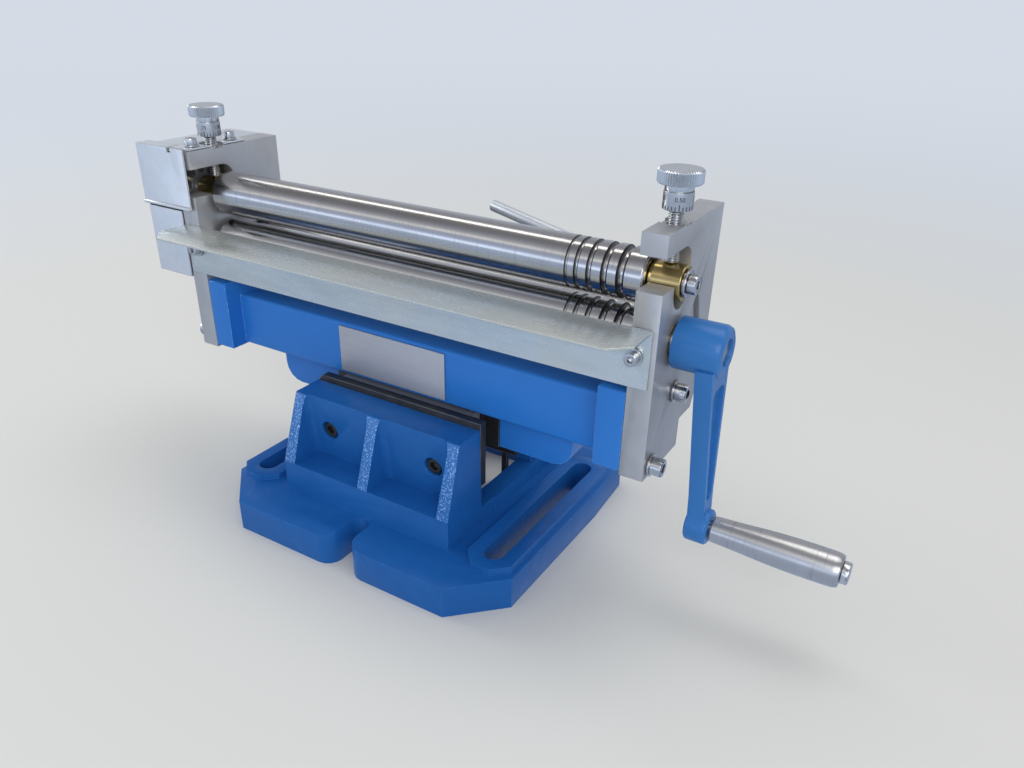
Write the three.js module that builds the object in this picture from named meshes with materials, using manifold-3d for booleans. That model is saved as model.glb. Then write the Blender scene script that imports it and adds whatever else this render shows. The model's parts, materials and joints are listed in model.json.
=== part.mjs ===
import * as THREE from 'three';
import { mergeVertices } from 'three/addons/utils/BufferGeometryUtils.js';
import Module from 'manifold-3d';

const wasm = await Module();
wasm.setup();

// Bench slip roll machine on a vise base, in millimetres.
// X runs along the rolls with the crank at +X, Y points to the back, Z up.
// The origin lies on the bench, midway between the end plates and under the middle of the base.

// Clearances
const touchGap = 0.3;
const slideGap = 0.35;
const turnGap = 0.35;

// Rolls
const workingWidth = 305;
const rollRadius = 13.75;
const rollY = -6;
const lowerRollZ = 160;
const openGap = 3.2;
const lowering = 2.9;
const raising = 2;
const rollSideGapLeft = 3;
const rollSideGapRight = 1.8;
const rollChamfer = 1;
const grooveStart = 257.3;
const grooveWidths = [1.8, 2.5, 3, 3.8, 4.5];
const grooveLands = [3.6, 4.4, 5, 4.6];

// Bearings
const upperBushRadius = 9;
const upperBushInner = 1.3;
const upperBushOuter = 2;
const upperJournalRadius = 6;
const seatClearance = 0.75;
const seatDrop = 4.4;
const slotHeadroom = 6.8;
const slotLipRise = 0.3;
const lowerBushRadius = 10;
const lowerJournalRadius = 8;
const bushEndPlay = 0.5;

// End plates
const plateThick = 13.5;
const plateFront = 24.5;
const plateBack = 50.5;
const plateRise = 59.5;
const plateDrop = 71.5;
const legBack = 22.5;
const legHeight = 17;
const backCutDepth = 11.5;
const backCutHeight = 22.5;

// Rear roll, on a slanted slot
const rearBehind = 33.4;
const rearBelow = 8.4;
const rearLean = 19.4;
const rearTravel = 22;
const rearSlotWidth = 8;
const saddleHeight = 6.5;
const rearScrewRadius = 2.9;
const rearScrewLength = 28;
const rearJournalInset = 1;
const saddleSideGap = 0.5;
const saddleTopDrop = 1;

// Adjusting knobs
const screwRadius = 3.9;
const screwHeadroom = 2;
const ringRadius = 7.6;
const ringDepth = 1;
const collarRadius = 7.25;
const collarHeight = 8.7;
const collarClearance = 3.4;
const neckRadius = 5;
const neckHeight = 3.3;
const knobRadius = 11;
const knobHeight = 6.7;

// Lift springs under the upper bushes
const springRadius = 3.2;
const springWire = 1;
const springWellDepth = 4.5;

// Gears
const gearTeeth = 10;
const gearTipRadius = 17;
const gearTipHalf = 0.5;
const gearPitchHalf = 1.1;
const gearRootHalf = 1.5;
const gearWidth = 12;
const gearOffset = 6;
const gearJournalRadius = 5;

// Crank and handle
const crankShaftRadius = 7;
const hubGap = 2.5;
const hubRadius = 13.6;
const hubLength = 25.1;
const hubRounding = 3;
const shaftRecess = 1.5;
const crankThrow = 102.5;
const armLean = 2.97;
const armThick = 9.2;
const armInset = 13.3;
const armTopHalf = 12.9;
const armLowHalf = 6.4;
const armRim = 2.6;
const armStraight = 20;
const armChannelDepth = 3;
const armChannelStart = 12;
const armChannelEnd = 3;
const armChannelTaper = 1.4;
const armChannelRounding = 5;
const handleBossRadius = 10;
const handleBossLength = 12.4;
const handleBossOut = 32.7;
const handleStart = 1.3;
const handleLength = 68;
const handleThin = 7.2;
const handleThick = 9.5;
const handleBore = 4.4;
const handleHeadRadius = 6;
const handleHeadHeight = 3.8;
const handleSlotDepth = 1.2;
const handleSlotWidth = 1.6;

// Body casting
const flangeWidth = 15.6;
const flangeBack = 21;
const flangeRise = 48.3;
const beamFront = 12.7;
const beamBack = 20;
const beamHeight = 35.5;
const beamAboveFoot = 2.5;
const flangeAboveFoot = 2.2;
const beamRounding = 2.5;
const bossHalfWidth = 113;
const bossDrop = 25.6;
const bossRounding = 13;
const bodyWall = 9;
const pocketCount = 6;
const namePlateWidth = 81;
const namePlateHeight = 30.3;
const namePlateThick = 0.8;
const namePlateShift = -8;
const namePlateInset = 3;

// Infeed tray
const sheet = 1.2;
const trayDepth = 31;
const traySideOver = 11;
const trayRise = 13;
const trayFlange = 31.6;
const trayCorner = 10;
const trayScrewOut = 2.8;
const trayScrewDrop = 15;

// Gear cover and its flap
const coverWidth = 31.5;
const coverGap = 0.6;
const coverInset = 1;
const coverDrop = 23.4;
const coverFrontEdge = 44.4;
const flapHeight = 38.5;
const flapLip = 9;
const flapLeftOver = 1;
const flapRightShort = 2.5;
const flapNotch = 3;
const keeperInset = 1;
const keeperWidth = 15.5;
const keeperLength = 48;
const keeperScrewSpacing = 15.5;

// Base casting
const baseWidth = 215.4;
const baseFront = 91.2;
const baseBack = 96;
const baseCornerFront = 28.5;
const baseCornerBack = 6;
const baseTaper = 2.7;
const baseTaperStart = 45;
const rimHeight = 20.5;
const deckHeight = 22.5;
const deckSlope = 8;
const sideSlotX = 90;
const sideSlotWidth = 13;
const sideSlotFront = -60;
const sideSlotBack = 64;
const slotRimWall = 8.5;
const slotRimHeight = 26;
const frontSlotX = 3;
const frontSlotWidth = 12.6;
const frontSlotEnd = -64;
const frontSlotMouth = 10;
const railOuter = 64;
const railWidth = 11.5;
const railHeight = 32.5;
const railBulge = 1.3;
const railStart = -13;
const webHalf = 12;
const webHeight = 9;
const bridgeDepth = 13;
const bridgeBackInset = 5;
const bridgeHeight = 42;

// Fixed jaw of the base
const jawTopHalf = 62.5;
const jawFront = -63;
const jawFootHeight = 42;
const jawTopFront = -48;
const jawBack = -27.3;
const jawHeight = 86;
const jawRib = 7;
const jawMiddleRib = 7.5;
const jawWallLow = -41;
const jawWallHigh = -47;
const jawPocketRounding = 5;
const thinSlice = 0.1;
const jawPlateHalf = 63;
const jawPlateThick = 6;
const jawPlateLow = 47;
const jawPlateHigh = 90;
const jawPlateCorner = 4;
const jawScrewX = 40.5;
const jawScrewZ = 62.3;
const jawScrewWell = 6.4;
const jawScrewFloor = 9.4;

// Moving jaw and its spindle
const packingHalf = 50;
const packingLow = 52;
const packingHigh = 88;
const padHalf = 63.5;
const padThick = 1.2;
const padHigh = 90;
const movingJawDepth = 25.7;
const movingJawLow = 48;
const movingJawHigh = 88;
const movingJawStep = 12;
const movingWebHalf = 15;
const movingWebLow = 12;
const movingFootDepth = 10;
const movingFootInset = 2;
const movingLedge = 12;
const guideLegWidth = 4;
const guideThick = 3;
const guideBehind = 1.7;
const guideBarHeight = 3;
const guideLow = 14;
const guideSideGap = 1;
const spindleFromGuide = 3;
const spindleZ = 25;
const spindleRadius = 7;
const spindleLength = 88;
const spindleSquare = 11;
const spindleSquareLength = 13;
const spindleGrooveRadius = 5.2;
const spindlePinRadius = 1.5;
const spindlePinInset = 8;
const spindlePinRise = 17;

// Lock lever at the back of the right plate
const leverZ = 165.5;
const leverInset = 2;
const leverHubRadius = 5.6;
const leverHubLength = 10.2;
const lockScrewRadius = 2.9;
const leverRodRadius = 3.5;
const leverRodChamfer = 0.5;
const leverRodLength = 139.4;
const leverTilt = 12.6;

// Sizes of the screws: radius of the shank, of the head, head height, across the hexagon
const m6 = { shank: 2.9, head: 5, height: 6, socket: 5 };
const m6Low = { shank: 2.9, head: 5, height: 4.2, socket: 4 };
const m4 = { shank: 1.9, head: 3.5, height: 4, socket: 3 };
const washerWide = { outer: 6.2, thick: 1.4 };
const washerEnd = { outer: 7.2, thick: 1.2 };
const washerSmall = { outer: 4.7, thick: 0.9 };
const screwDepth = 10;
const screwInset = 8.5;
const lowScrewDrop = 2;

// Derived places
const plateInnerX = workingWidth / 2;
const plateOuterX = plateInnerX + plateThick;
const plateMidX = plateInnerX + plateThick / 2;
const plateTopZ = lowerRollZ + plateRise;
const plateLowZ = lowerRollZ - plateDrop;
const plateFrontY = rollY - plateFront;
const plateBackY = rollY + plateBack;
const upperRollZ = lowerRollZ + 2 * rollRadius + openGap;
const slotTopZ = upperRollZ + upperBushRadius + raising + slotHeadroom;
const slotLipZ = upperRollZ + slotLipRise;
const seatRadius = upperBushRadius + seatClearance;
const seatLowZ = upperRollZ - seatDrop - upperBushRadius - touchGap + seatRadius;
const seatHighZ = slotTopZ - seatRadius;
const barrelLeft = -plateInnerX + rollSideGapLeft;
const barrelRight = plateInnerX - rollSideGapRight;
const rearRollY = rollY + rearBehind;
const rearRollZ = lowerRollZ - rearBelow;
const rearJournalRadius = rearSlotWidth / 2 - turnGap;
const gearRootRadius = 2 * rollRadius + openGap - lowering - gearTipRadius - touchGap * 2;
const gearPitchRadius = rollRadius + (openGap - lowering) / 2;
const gearRightX = -plateOuterX - gearOffset;
const gearLeftX = gearRightX - gearWidth;
const bodyTopZ = plateLowZ + flangeRise;
const beamLowZ = plateLowZ + beamAboveFoot;
const beamTopZ = beamLowZ + beamHeight;
const beamFrontY = rollY - beamFront;
const beamBackY = rollY + beamBack;
const bossLowZ = beamLowZ - bossDrop;
const flangeInnerX = plateInnerX - touchGap - flangeWidth;
const trayTopZ = lowerRollZ + trayRise;
const trayFaceY = plateFrontY - touchGap - sheet;
const trayHalfX = plateInnerX + traySideOver;
const coverRightX = -plateOuterX - coverGap;
const coverLeftX = coverRightX - coverWidth;
const coverLowZ = lowerRollZ - coverDrop;
const coverFrontY = plateFrontY - coverInset;
const jawPlateY = jawBack + touchGap;
const packingY = jawPlateY + jawPlateThick + touchGap;
const padY = rollY - touchGap - padThick;
const movingPlateY = beamBackY + touchGap;
const movingJawY = movingPlateY + jawPlateThick + touchGap;
const movingJawBackY = movingJawY + movingJawDepth;
const bedHalf = railOuter - railWidth;
const bridgeY = baseBack - bridgeBackInset - bridgeDepth;
const plateScrews = [
  { level: 'upper', y: rollY + screwInset, z: bodyTopZ - screwInset },
  { level: 'lower', y: plateFrontY + screwInset, z: plateLowZ + screwInset - lowScrewDrop },
];
const trayScrewX = plateInnerX + trayScrewOut;
const trayScrewZ = trayTopZ - trayScrewDrop;

// Solids: closed meshes go in, are joined or cut, and come back as plain geometry
function toSolid(geometry) {
  const bare = geometry.clone();
  bare.deleteAttribute('normal');
  bare.deleteAttribute('uv');
  const merged = mergeVertices(bare, 1e-4);
  const corners = [];
  for (let i = 0; i < merged.index.count; i += 3) {
    const [a, b, c] = [0, 1, 2].map((k) => merged.index.getX(i + k));
    if (a !== b && b !== c && c !== a) corners.push(a, b, c);
  }
  return new wasm.Manifold(new wasm.Mesh({
    numProp: 3,
    vertProperties: new Float32Array(merged.attributes.position.array),
    triVerts: new Uint32Array(corners),
  }));
}

function toGeometry(solid) {
  const mesh = solid.getMesh();
  const geometry = new THREE.BufferGeometry();
  geometry.setAttribute('position', new THREE.BufferAttribute(mesh.vertProperties, 3));
  geometry.setIndex(new THREE.BufferAttribute(mesh.triVerts, 1));
  return geometry;
}

function join(first, ...others) {
  return toGeometry(others.reduce((whole, other) => whole.add(toSolid(other)), toSolid(first)));
}

function cut(first, ...tools) {
  return toGeometry(tools.reduce((whole, tool) => whole.subtract(toSolid(tool)), toSolid(first)));
}

function common(first, second) {
  return toGeometry(toSolid(first).intersect(toSolid(second)));
}

// The smallest outward-curving body round both
function spanned(first, second) {
  return toGeometry(wasm.Manifold.hull([toSolid(first), toSolid(second)]));
}

function mirroredX(geometry) {
  const copy = geometry.index ? geometry.toNonIndexed() : geometry.clone();
  copy.scale(-1, 1, 1);
  const place = copy.attributes.position;
  const first = new THREE.Vector3();
  const second = new THREE.Vector3();
  for (let i = 0; i < place.count; i += 3) {
    first.fromBufferAttribute(place, i);
    second.fromBufferAttribute(place, i + 1);
    place.setXYZ(i, second.x, second.y, second.z);
    place.setXYZ(i + 1, first.x, first.y, first.z);
  }
  return copy;
}

// Outline from corners [x, y, radius]; a corner with a radius becomes an arc
function outline(corners, arcSteps = 4) {
  const points = [];
  corners.forEach(([x, y, radius = 0], i) => {
    const here = new THREE.Vector2(x, y);
    if (radius === 0) {
      points.push(here);
      return;
    }
    const [beforeX, beforeY] = corners.at(i - 1);
    const [afterX, afterY] = corners[(i + 1) % corners.length];
    const toBefore = new THREE.Vector2(beforeX, beforeY).sub(here).normalize();
    const toAfter = new THREE.Vector2(afterX, afterY).sub(here).normalize();
    const half = Math.acos(THREE.MathUtils.clamp(toBefore.dot(toAfter), -1, 1)) / 2;
    const inward = toBefore.clone().add(toAfter).normalize();
    const centre = here.clone().addScaledVector(inward, radius / Math.sin(half));
    const start = here.clone().addScaledVector(toBefore, radius / Math.tan(half)).sub(centre);
    const end = here.clone().addScaledVector(toAfter, radius / Math.tan(half)).sub(centre);
    const sweep = Math.atan2(start.cross(end), start.dot(end));
    for (let k = 0; k <= arcSteps; k += 1) {
      points.push(start.clone().rotateAround(new THREE.Vector2(), sweep * k / arcSteps).add(centre));
    }
  });
  return new THREE.Shape(points);
}

function circleOutline(x, y, radius, steps = 24) {
  const points = [];
  for (let k = 0; k < steps; k += 1) {
    const angle = 2 * Math.PI * k / steps;
    points.push(new THREE.Vector2(x + radius * Math.cos(angle), y + radius * Math.sin(angle)));
  }
  return new THREE.Shape(points);
}

function extruded(shape, depth) {
  return new THREE.ExtrudeGeometry(shape, { depth, bevelEnabled: false });
}

const unitX = new THREE.Vector3(1, 0, 0);
const unitY = new THREE.Vector3(0, 1, 0);
const unitZ = new THREE.Vector3(0, 0, 1);

// An outline in Y and Z, extruded from x0 to x1
function alongX(shape, x0, x1) {
  const turn = new THREE.Matrix4().makeBasis(unitY, unitZ, unitX);
  return extruded(shape, x1 - x0).applyMatrix4(turn).translate(x0, 0, 0);
}

// An outline in X and Z, extruded from y0 to y1
function alongY(shape, y0, y1) {
  const turn = new THREE.Matrix4().makeBasis(unitX, unitZ, unitY.clone().negate());
  return extruded(shape, y1 - y0).applyMatrix4(turn).translate(0, y1, 0);
}

// An outline in X and Y, extruded from z0 to z1
function alongZ(shape, z0, z1) {
  return extruded(shape, z1 - z0).translate(0, 0, z0);
}

function block(x0, x1, y0, y1, z0, z1) {
  return new THREE.BoxGeometry(x1 - x0, y1 - y0, z1 - z0)
    .translate((x0 + x1) / 2, (y0 + y1) / 2, (z0 + z1) / 2);
}

// A profile of [radius, height] turned about Z, and the same laid along X or Y
function turned(profile, steps = 24) {
  const points = profile.map(([radius, height]) => new THREE.Vector2(radius, height));
  return new THREE.LatheGeometry(points, steps).rotateX(Math.PI / 2);
}

function turnedX(profile, steps = 24) {
  return turned(profile, steps).rotateY(Math.PI / 2);
}

function turnedY(profile, steps = 24) {
  return turned(profile, steps).rotateX(-Math.PI / 2);
}

function rod(radius, from, to) {
  return [[0, from], [radius, from], [radius, to], [0, to]];
}

function ring(inner, outer, from, to) {
  return [[inner, from], [outer, from], [outer, to], [inner, to], [inner, from]];
}

// Cap screw along Z: the shank goes down from zero, and the head stands there, or on a captive washer
function capScrew(size, length, { captive = null, steps = 16 } = {}) {
  const { shank, head, height, socket } = size;
  const edge = 0.5;
  const seat = captive ? captive.thick : 0;
  const flange = captive ? [[captive.outer, 0], [captive.outer, seat]] : [];
  const top = seat + height;
  const body = turned([
    [0, -length], [shank, -length], [shank, 0], ...flange, [head, seat],
    [head, top - edge], [head - edge, top], [0, top],
  ], steps);
  const hexagon = circleOutline(0, 0, socket / Math.sqrt(3), 6);
  return cut(body, alongZ(hexagon, seat + height / 2, top + 1));
}

function washer(size, bore, steps = 20) {
  return turned(ring(bore, size.outer, 0, size.thick), steps);
}

function screwBore(size, from, to) {
  return turned(rod(size.shank + slideGap, from, to), 16);
}

// The scene graph
const machine = new THREE.Group();

function finish(color, roughness, metalness) {
  return () => new THREE.MeshStandardMaterial({ color, roughness, metalness });
}

const bluePaint = finish(0x2e69b9, 0.35, 0.05);
const groundSteel = finish(0xa3a5a8, 0.4, 0.9);
const polishedSteel = finish(0xb4b2b0, 0.2, 1);
const zincSheet = finish(0xb9bfc2, 0.35, 0.85);
const brightZinc = finish(0xc4c5c6, 0.3, 0.9);
const blackSteel = finish(0x1b1c1f, 0.45, 0.6);
const brass = finish(0xb08a3c, 0.3, 0.95);
const silverPlate = finish(0xb2b3b8, 0.45, 0.6);
const springSteel = finish(0x77787b, 0.35, 0.9);

function piece(name, geometry, material, parent = machine) {
  const flat = geometry.index ? geometry.toNonIndexed() : geometry;
  flat.computeVertexNormals();
  const mesh = new THREE.Mesh(flat, material());
  mesh.name = name;
  parent.add(mesh);
  return mesh;
}

function assembly(x, y, z, parent = machine) {
  const group = new THREE.Group();
  group.position.set(x, y, z);
  parent.add(group);
  return group;
}

const sides = [{ name: 'left', sign: -1 }, { name: 'right', sign: 1 }];

// Base casting: slotted foot with rails, a ribbed fixed jaw and a rear bridge
function baseOutline() {
  const half = baseWidth / 2;
  const backHalf = half - baseTaper;
  return outline([
    [-half, -baseFront + baseCornerFront], [-half + baseCornerFront, -baseFront],
    [half - baseCornerFront, -baseFront], [half, -baseFront + baseCornerFront], [half, baseTaperStart],
    [backHalf, baseBack - baseCornerBack], [backHalf - baseCornerBack, baseBack],
    [-backHalf + baseCornerBack, baseBack], [-backHalf, baseBack - baseCornerBack], [-half, baseTaperStart],
  ]);
}

function slopedDeck() {
  const rise = deckHeight - rimHeight;
  const deck = new THREE.ExtrudeGeometry(baseOutline(), {
    depth: rimHeight - 2 * rise,
    bevelThickness: rise,
    bevelSize: deckSlope,
    bevelOffset: -deckSlope,
    bevelSegments: 1,
  });
  return deck.translate(0, 0, 2 * rise);
}

function slotRim(x) {
  const half = sideSlotWidth / 2 + slotRimWall;
  const front = sideSlotFront - slotRimWall;
  const back = sideSlotBack + slotRimWall;
  const corner = half * 0.6;
  return alongZ(outline([
    [x - half, front + corner], [x - half + corner, front], [x + half - corner, front],
    [x + half, front + corner], [x + half, back - corner], [x + half - corner, back],
    [x - half + corner, back], [x - half, back - corner],
  ]), rimHeight / 2, slotRimHeight);
}

function sideSlot(x) {
  const half = sideSlotWidth / 2;
  const arc = half * 0.99;
  return alongZ(outline([
    [x - half, sideSlotFront, arc], [x + half, sideSlotFront, arc],
    [x + half, sideSlotBack, arc], [x - half, sideSlotBack, arc],
  ], 6), -1, slotRimHeight + 1);
}

function frontSlot() {
  const half = frontSlotWidth / 2;
  const arc = half * 0.99;
  const wide = half + 2 * frontSlotMouth;
  const out = -baseFront - frontSlotMouth;
  return alongZ(outline([
    [frontSlotX - wide, out], [frontSlotX + wide, out], [frontSlotX + wide, -baseFront],
    [frontSlotX + half, -baseFront, frontSlotMouth], [frontSlotX + half, frontSlotEnd, arc],
    [frontSlotX - half, frontSlotEnd, arc], [frontSlotX - half, -baseFront, frontSlotMouth],
    [frontSlotX - wide, -baseFront],
  ]), -1, deckHeight + 1);
}

function fixedJaw() {
  const side = alongX(outline([
    [jawFront, rimHeight / 2], [jawBack, rimHeight / 2], [jawBack, jawHeight],
    [jawTopFront, jawHeight, 1.5], [jawFront, jawFootHeight],
  ]), -railOuter, railOuter);
  const face = alongY(outline([
    [-railOuter, 0], [railOuter, 0], [railOuter, jawFootHeight], [jawTopHalf, jawHeight],
    [-jawTopHalf, jawHeight], [-railOuter, jawFootHeight],
  ]), jawFront - 1, jawBack + 1);
  const wallLean = (jawWallHigh - jawWallLow) / (jawHeight - jawFootHeight);
  const pockets = [-1, 1].map((sign) => {
    const near = sign * jawMiddleRib / 2;
    const far = sign * (jawTopHalf - jawRib);
    const level = (z, back) => alongZ(outline([
      [Math.min(near, far), jawFront - 5], [Math.max(near, far), jawFront - 5],
      [Math.max(near, far), back, jawPocketRounding], [Math.min(near, far), back, jawPocketRounding],
    ]), z, z + thinSlice);
    return spanned(level(jawFootHeight, jawWallLow), level(jawHeight + 1, jawWallHigh + wallLean));
  });
  const holes = [-jawScrewX, jawScrewX].flatMap((x) => [
    turnedY(rod(jawScrewWell, jawTopFront, jawBack - jawScrewFloor), 20).translate(x, 0, jawScrewZ),
    turnedY(rod(m6.shank + slideGap, jawTopFront, jawBack + 1), 16).translate(x, 0, jawScrewZ),
  ]);
  return cut(common(side, face), ...pockets, ...holes);
}

function baseCasting() {
  const rails = sides.flatMap(({ sign }) => {
    const near = sign * bedHalf;
    const far = sign * railOuter;
    const wide = sign * (railOuter + railBulge);
    return [
      block(Math.min(near, far), Math.max(near, far), jawBack - 1, railStart + 1, 0, railHeight),
      block(Math.min(near, wide), Math.max(near, wide), railStart, bridgeY + 1, 0, railHeight),
    ];
  });
  const bridge = block(-railOuter, railOuter, bridgeY, baseBack - bridgeBackInset, 0, bridgeHeight);
  const foot = join(alongZ(baseOutline(), 0, rimHeight), slopedDeck(), slotRim(-sideSlotX), slotRim(sideSlotX));
  const bed = block(-bedHalf, bedHalf, jawBack, bridgeY, -1, bridgeHeight);
  const open = cut(foot, bed, sideSlot(-sideSlotX), sideSlot(sideSlotX), frontSlot());
  const web = block(-bedHalf - 1, bedHalf + 1, -webHalf, webHalf, 0, webHeight);
  const spindleBore = turnedY(rod(spindleRadius + turnGap, bridgeY - 1, baseBack + 1)).translate(0, 0, spindleZ);
  const whole = join(open, ...rails, bridge, web, cut(fixedJaw(), frontSlot()));
  return cut(whole, spindleBore);
}

piece('base_casting', baseCasting(), bluePaint);

// Fixed jaw plate with its two screws, the packing and the pad on the boss
function jawPlateGeometry(y, low, screwHoles) {
  const plate = alongY(outline([
    [-jawPlateHalf, low], [jawPlateHalf, low], [jawPlateHalf, jawPlateHigh],
    [-jawPlateHalf + jawPlateCorner, jawPlateHigh], [-jawPlateHalf, jawPlateHigh - jawPlateCorner],
  ]), y, y + jawPlateThick);
  const holes = screwHoles.map((x) => {
    const bore = turnedY(rod(m6.shank + slideGap, y - 1, y + jawPlateThick - 1), 16);
    return bore.translate(x, 0, jawScrewZ);
  });
  return holes.length > 0 ? cut(plate, ...holes) : plate;
}

piece('front_jaw_plate', jawPlateGeometry(jawPlateY, jawPlateLow, [-jawScrewX, jawScrewX]), blackSteel);

const jawScrewSeatY = jawBack - jawScrewFloor - touchGap;
const jawScrewLength = jawPlateY + jawPlateThick - 1 - touchGap - jawScrewSeatY;
sides.forEach(({ name, sign }) => {
  piece(`jaw_plate_screw_${name}`, capScrew(m6, jawScrewLength)
    .rotateX(Math.PI / 2)
    .translate(sign * jawScrewX, jawScrewSeatY, jawScrewZ), blackSteel);
});

piece('packing_block', block(-packingHalf, packingHalf, packingY, padY - touchGap, packingLow, packingHigh), groundSteel);
piece('boss_pad', block(-padHalf, padHalf, padY, rollY - touchGap, bossLowZ, padHigh), blackSteel);

// Body casting: beam between two flanges, with a clamping boss below
function bodyCasting() {
  const beam = alongX(outline([
    [beamFrontY, beamLowZ, beamRounding], [beamBackY, beamLowZ],
    [beamBackY, beamTopZ, beamRounding], [beamFrontY, beamTopZ, beamRounding],
  ]), -flangeInnerX - 1, flangeInnerX + 1);
  const flanges = sides.map(({ sign }) => {
    const near = sign * flangeInnerX;
    const far = sign * (plateInnerX - touchGap);
    const shape = outline([
      [plateFrontY, plateLowZ + flangeAboveFoot], [rollY + flangeBack, plateLowZ + flangeAboveFoot],
      [rollY + flangeBack, bodyTopZ, 3], [plateFrontY, bodyTopZ, 1.5],
    ]);
    return alongX(shape, Math.min(near, far), Math.max(near, far));
  });
  const boss = alongY(outline([
    [-bossHalfWidth, bossLowZ, bossRounding], [bossHalfWidth, bossLowZ, bossRounding],
    [bossHalfWidth, beamLowZ + 5], [-bossHalfWidth, beamLowZ + 5],
  ]), rollY, beamBackY);
  const pocketPitch = (2 * flangeInnerX - bodyWall) / pocketCount;
  const pockets = Array.from({ length: pocketCount }, (_, i) => {
    const from = -flangeInnerX + bodyWall + i * pocketPitch;
    const to = from + pocketPitch - bodyWall;
    return alongY(outline([
      [from, beamLowZ + bodyWall, 3], [to, beamLowZ + bodyWall, 3],
      [to, beamTopZ - bodyWall, 3], [from, beamTopZ - bodyWall, 3],
    ], 3), beamFrontY + bodyWall, beamBackY + 1);
  });
  const bores = sides.flatMap(({ sign }) => plateScrews.map(({ y, z }) => {
    const reach = plateInnerX - touchGap - screwDepth - 1;
    const bore = turnedX(rod(m6.shank + slideGap, reach, plateInnerX), 16);
    return (sign > 0 ? bore : mirroredX(bore)).translate(0, y, z);
  }));
  return cut(join(beam, ...flanges, boss), ...pockets, ...bores);
}

piece('body_casting', bodyCasting(), bluePaint);

const namePlateLowZ = beamLowZ + namePlateInset;
piece('name_plate', block(
  namePlateShift - namePlateWidth / 2, namePlateShift + namePlateWidth / 2,
  beamFrontY - touchGap - namePlateThick, beamFrontY - touchGap,
  namePlateLowZ, namePlateLowZ + namePlateHeight,
), silverPlate);

// End plates, drawn in Y and Z
function slantedX(shape, x0, x1) {
  const lean = THREE.MathUtils.degToRad(rearLean);
  return alongX(shape, x0, x1).rotateX(lean).translate(0, rearRollY, rearRollZ);
}

function rearSlotOutline() {
  const half = rearSlotWidth / 2;
  const arc = half * 0.99;
  const high = rearTravel + half + touchGap;
  return outline([
    [-half, -saddleHeight - touchGap], [half, -saddleHeight - touchGap], [half, high, arc], [-half, high, arc],
  ], 6);
}

function endPlate() {
  const x0 = plateInnerX;
  const x1 = plateOuterX;
  const legStepZ = plateLowZ + legHeight;
  const body = alongX(outline([
    [plateFrontY, plateLowZ], [rollY + legBack, plateLowZ],
    [rollY + legBack, legStepZ], [plateBackY - backCutDepth, legStepZ],
    [plateBackY, legStepZ + backCutHeight], [plateBackY, plateTopZ], [plateFrontY, plateTopZ],
  ]), x0, x1);
  const seat = alongX(outline([
    [rollY - seatRadius, seatLowZ - seatRadius, seatRadius * 0.99],
    [rollY + seatRadius, seatLowZ - seatRadius, seatRadius * 0.99],
    [rollY + seatRadius, seatHighZ + seatRadius, seatRadius * 0.99],
    [rollY - seatRadius, seatHighZ + seatRadius],
  ], 8), x0 - 1, x1 + 1);
  const mouth = block(x0 - 1, x1 + 1, plateFrontY - 1, rollY, slotLipZ, slotTopZ);
  const lowerBore = turnedX(rod(lowerBushRadius + touchGap, x0 - 1, x1 + 1), 32).translate(0, rollY, lowerRollZ);
  const rearSlot = slantedX(rearSlotOutline(), x0 - 1, x1 + 1);
  const lean = THREE.MathUtils.degToRad(rearLean);
  const rearBore = turned(rod(rearScrewRadius + turnGap, -3 * rearScrewLength, -saddleHeight), 16)
    .rotateX(lean).translate(plateMidX, rearRollY, rearRollZ);
  const screwHole = turned(rod(screwRadius + turnGap, seatHighZ, plateTopZ + 1), 20)
    .translate(plateMidX, rollY, 0);
  const counterbore = turned(rod(ringRadius, plateTopZ - ringDepth, plateTopZ + 1), 24)
    .translate(plateMidX, rollY, 0);
  const springWell = turned(rod(springRadius + slideGap, seatLowZ - seatRadius - springWellDepth, upperRollZ), 16)
    .translate(plateMidX, rollY, 0);
  const sideBores = plateScrews.map(({ y, z }) => turnedX(rod(m6.shank + slideGap, x0 - 1, x1 + 1), 16)
    .translate(0, y, z));
  const trayBore = turnedY(rod(m4.shank + slideGap, plateFrontY - 1, plateFrontY + screwDepth + 1), 12)
    .translate(trayScrewX, 0, trayScrewZ);
  return cut(body, seat, mouth, lowerBore, rearSlot, rearBore, screwHole, counterbore, springWell, ...sideBores, trayBore);
}

const leverX = plateMidX - leverInset;
const lockBore = turnedY(rod(lockScrewRadius + turnGap, rearRollY, plateBackY + 1), 16).translate(leverX, 0, leverZ);
const keeperBores = [-keeperScrewSpacing, keeperScrewSpacing].map((offset) => (
  screwBore(m4, plateTopZ - screwDepth - 1, plateTopZ + 1).translate(-plateMidX, rollY + offset, 0)
));
piece('left_end_plate', cut(mirroredX(endPlate()), ...keeperBores), groundSteel);
piece('right_end_plate', cut(endPlate(), lockBore), groundSteel);

// Screws that hold the end plates to the body casting
const plateScrewLength = touchGap + plateThick + touchGap + screwDepth;
sides.forEach(({ name, sign }) => {
  plateScrews.forEach(({ level, y, z }) => {
    piece(`${level}_plate_screw_${name}`, capScrew(m6, plateScrewLength, { captive: washerWide })
      .rotateY(sign * Math.PI / 2)
      .translate(sign * (plateOuterX + touchGap), y, z), brightZinc);
  });
});

// Infeed tray with its screws
function infeedTray() {
  const front = trayFaceY - trayDepth;
  const shelf = alongZ(outline([
    [-trayHalfX, trayFaceY + sheet], [-trayHalfX, front + trayCorner], [-trayHalfX + trayCorner, front],
    [trayHalfX - trayCorner, front], [trayHalfX, front + trayCorner], [trayHalfX, trayFaceY + sheet],
  ]), trayTopZ - sheet, trayTopZ);
  const flange = block(-trayHalfX, trayHalfX, trayFaceY, trayFaceY + sheet, trayTopZ - trayFlange, trayTopZ);
  const holes = [-trayScrewX, trayScrewX].map((x) => turnedY(
    rod(m4.shank + slideGap, trayFaceY - 1, trayFaceY + sheet + 0.5), 12,
  ).translate(x, 0, trayScrewZ));
  return cut(join(shelf, flange), ...holes);
}

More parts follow.
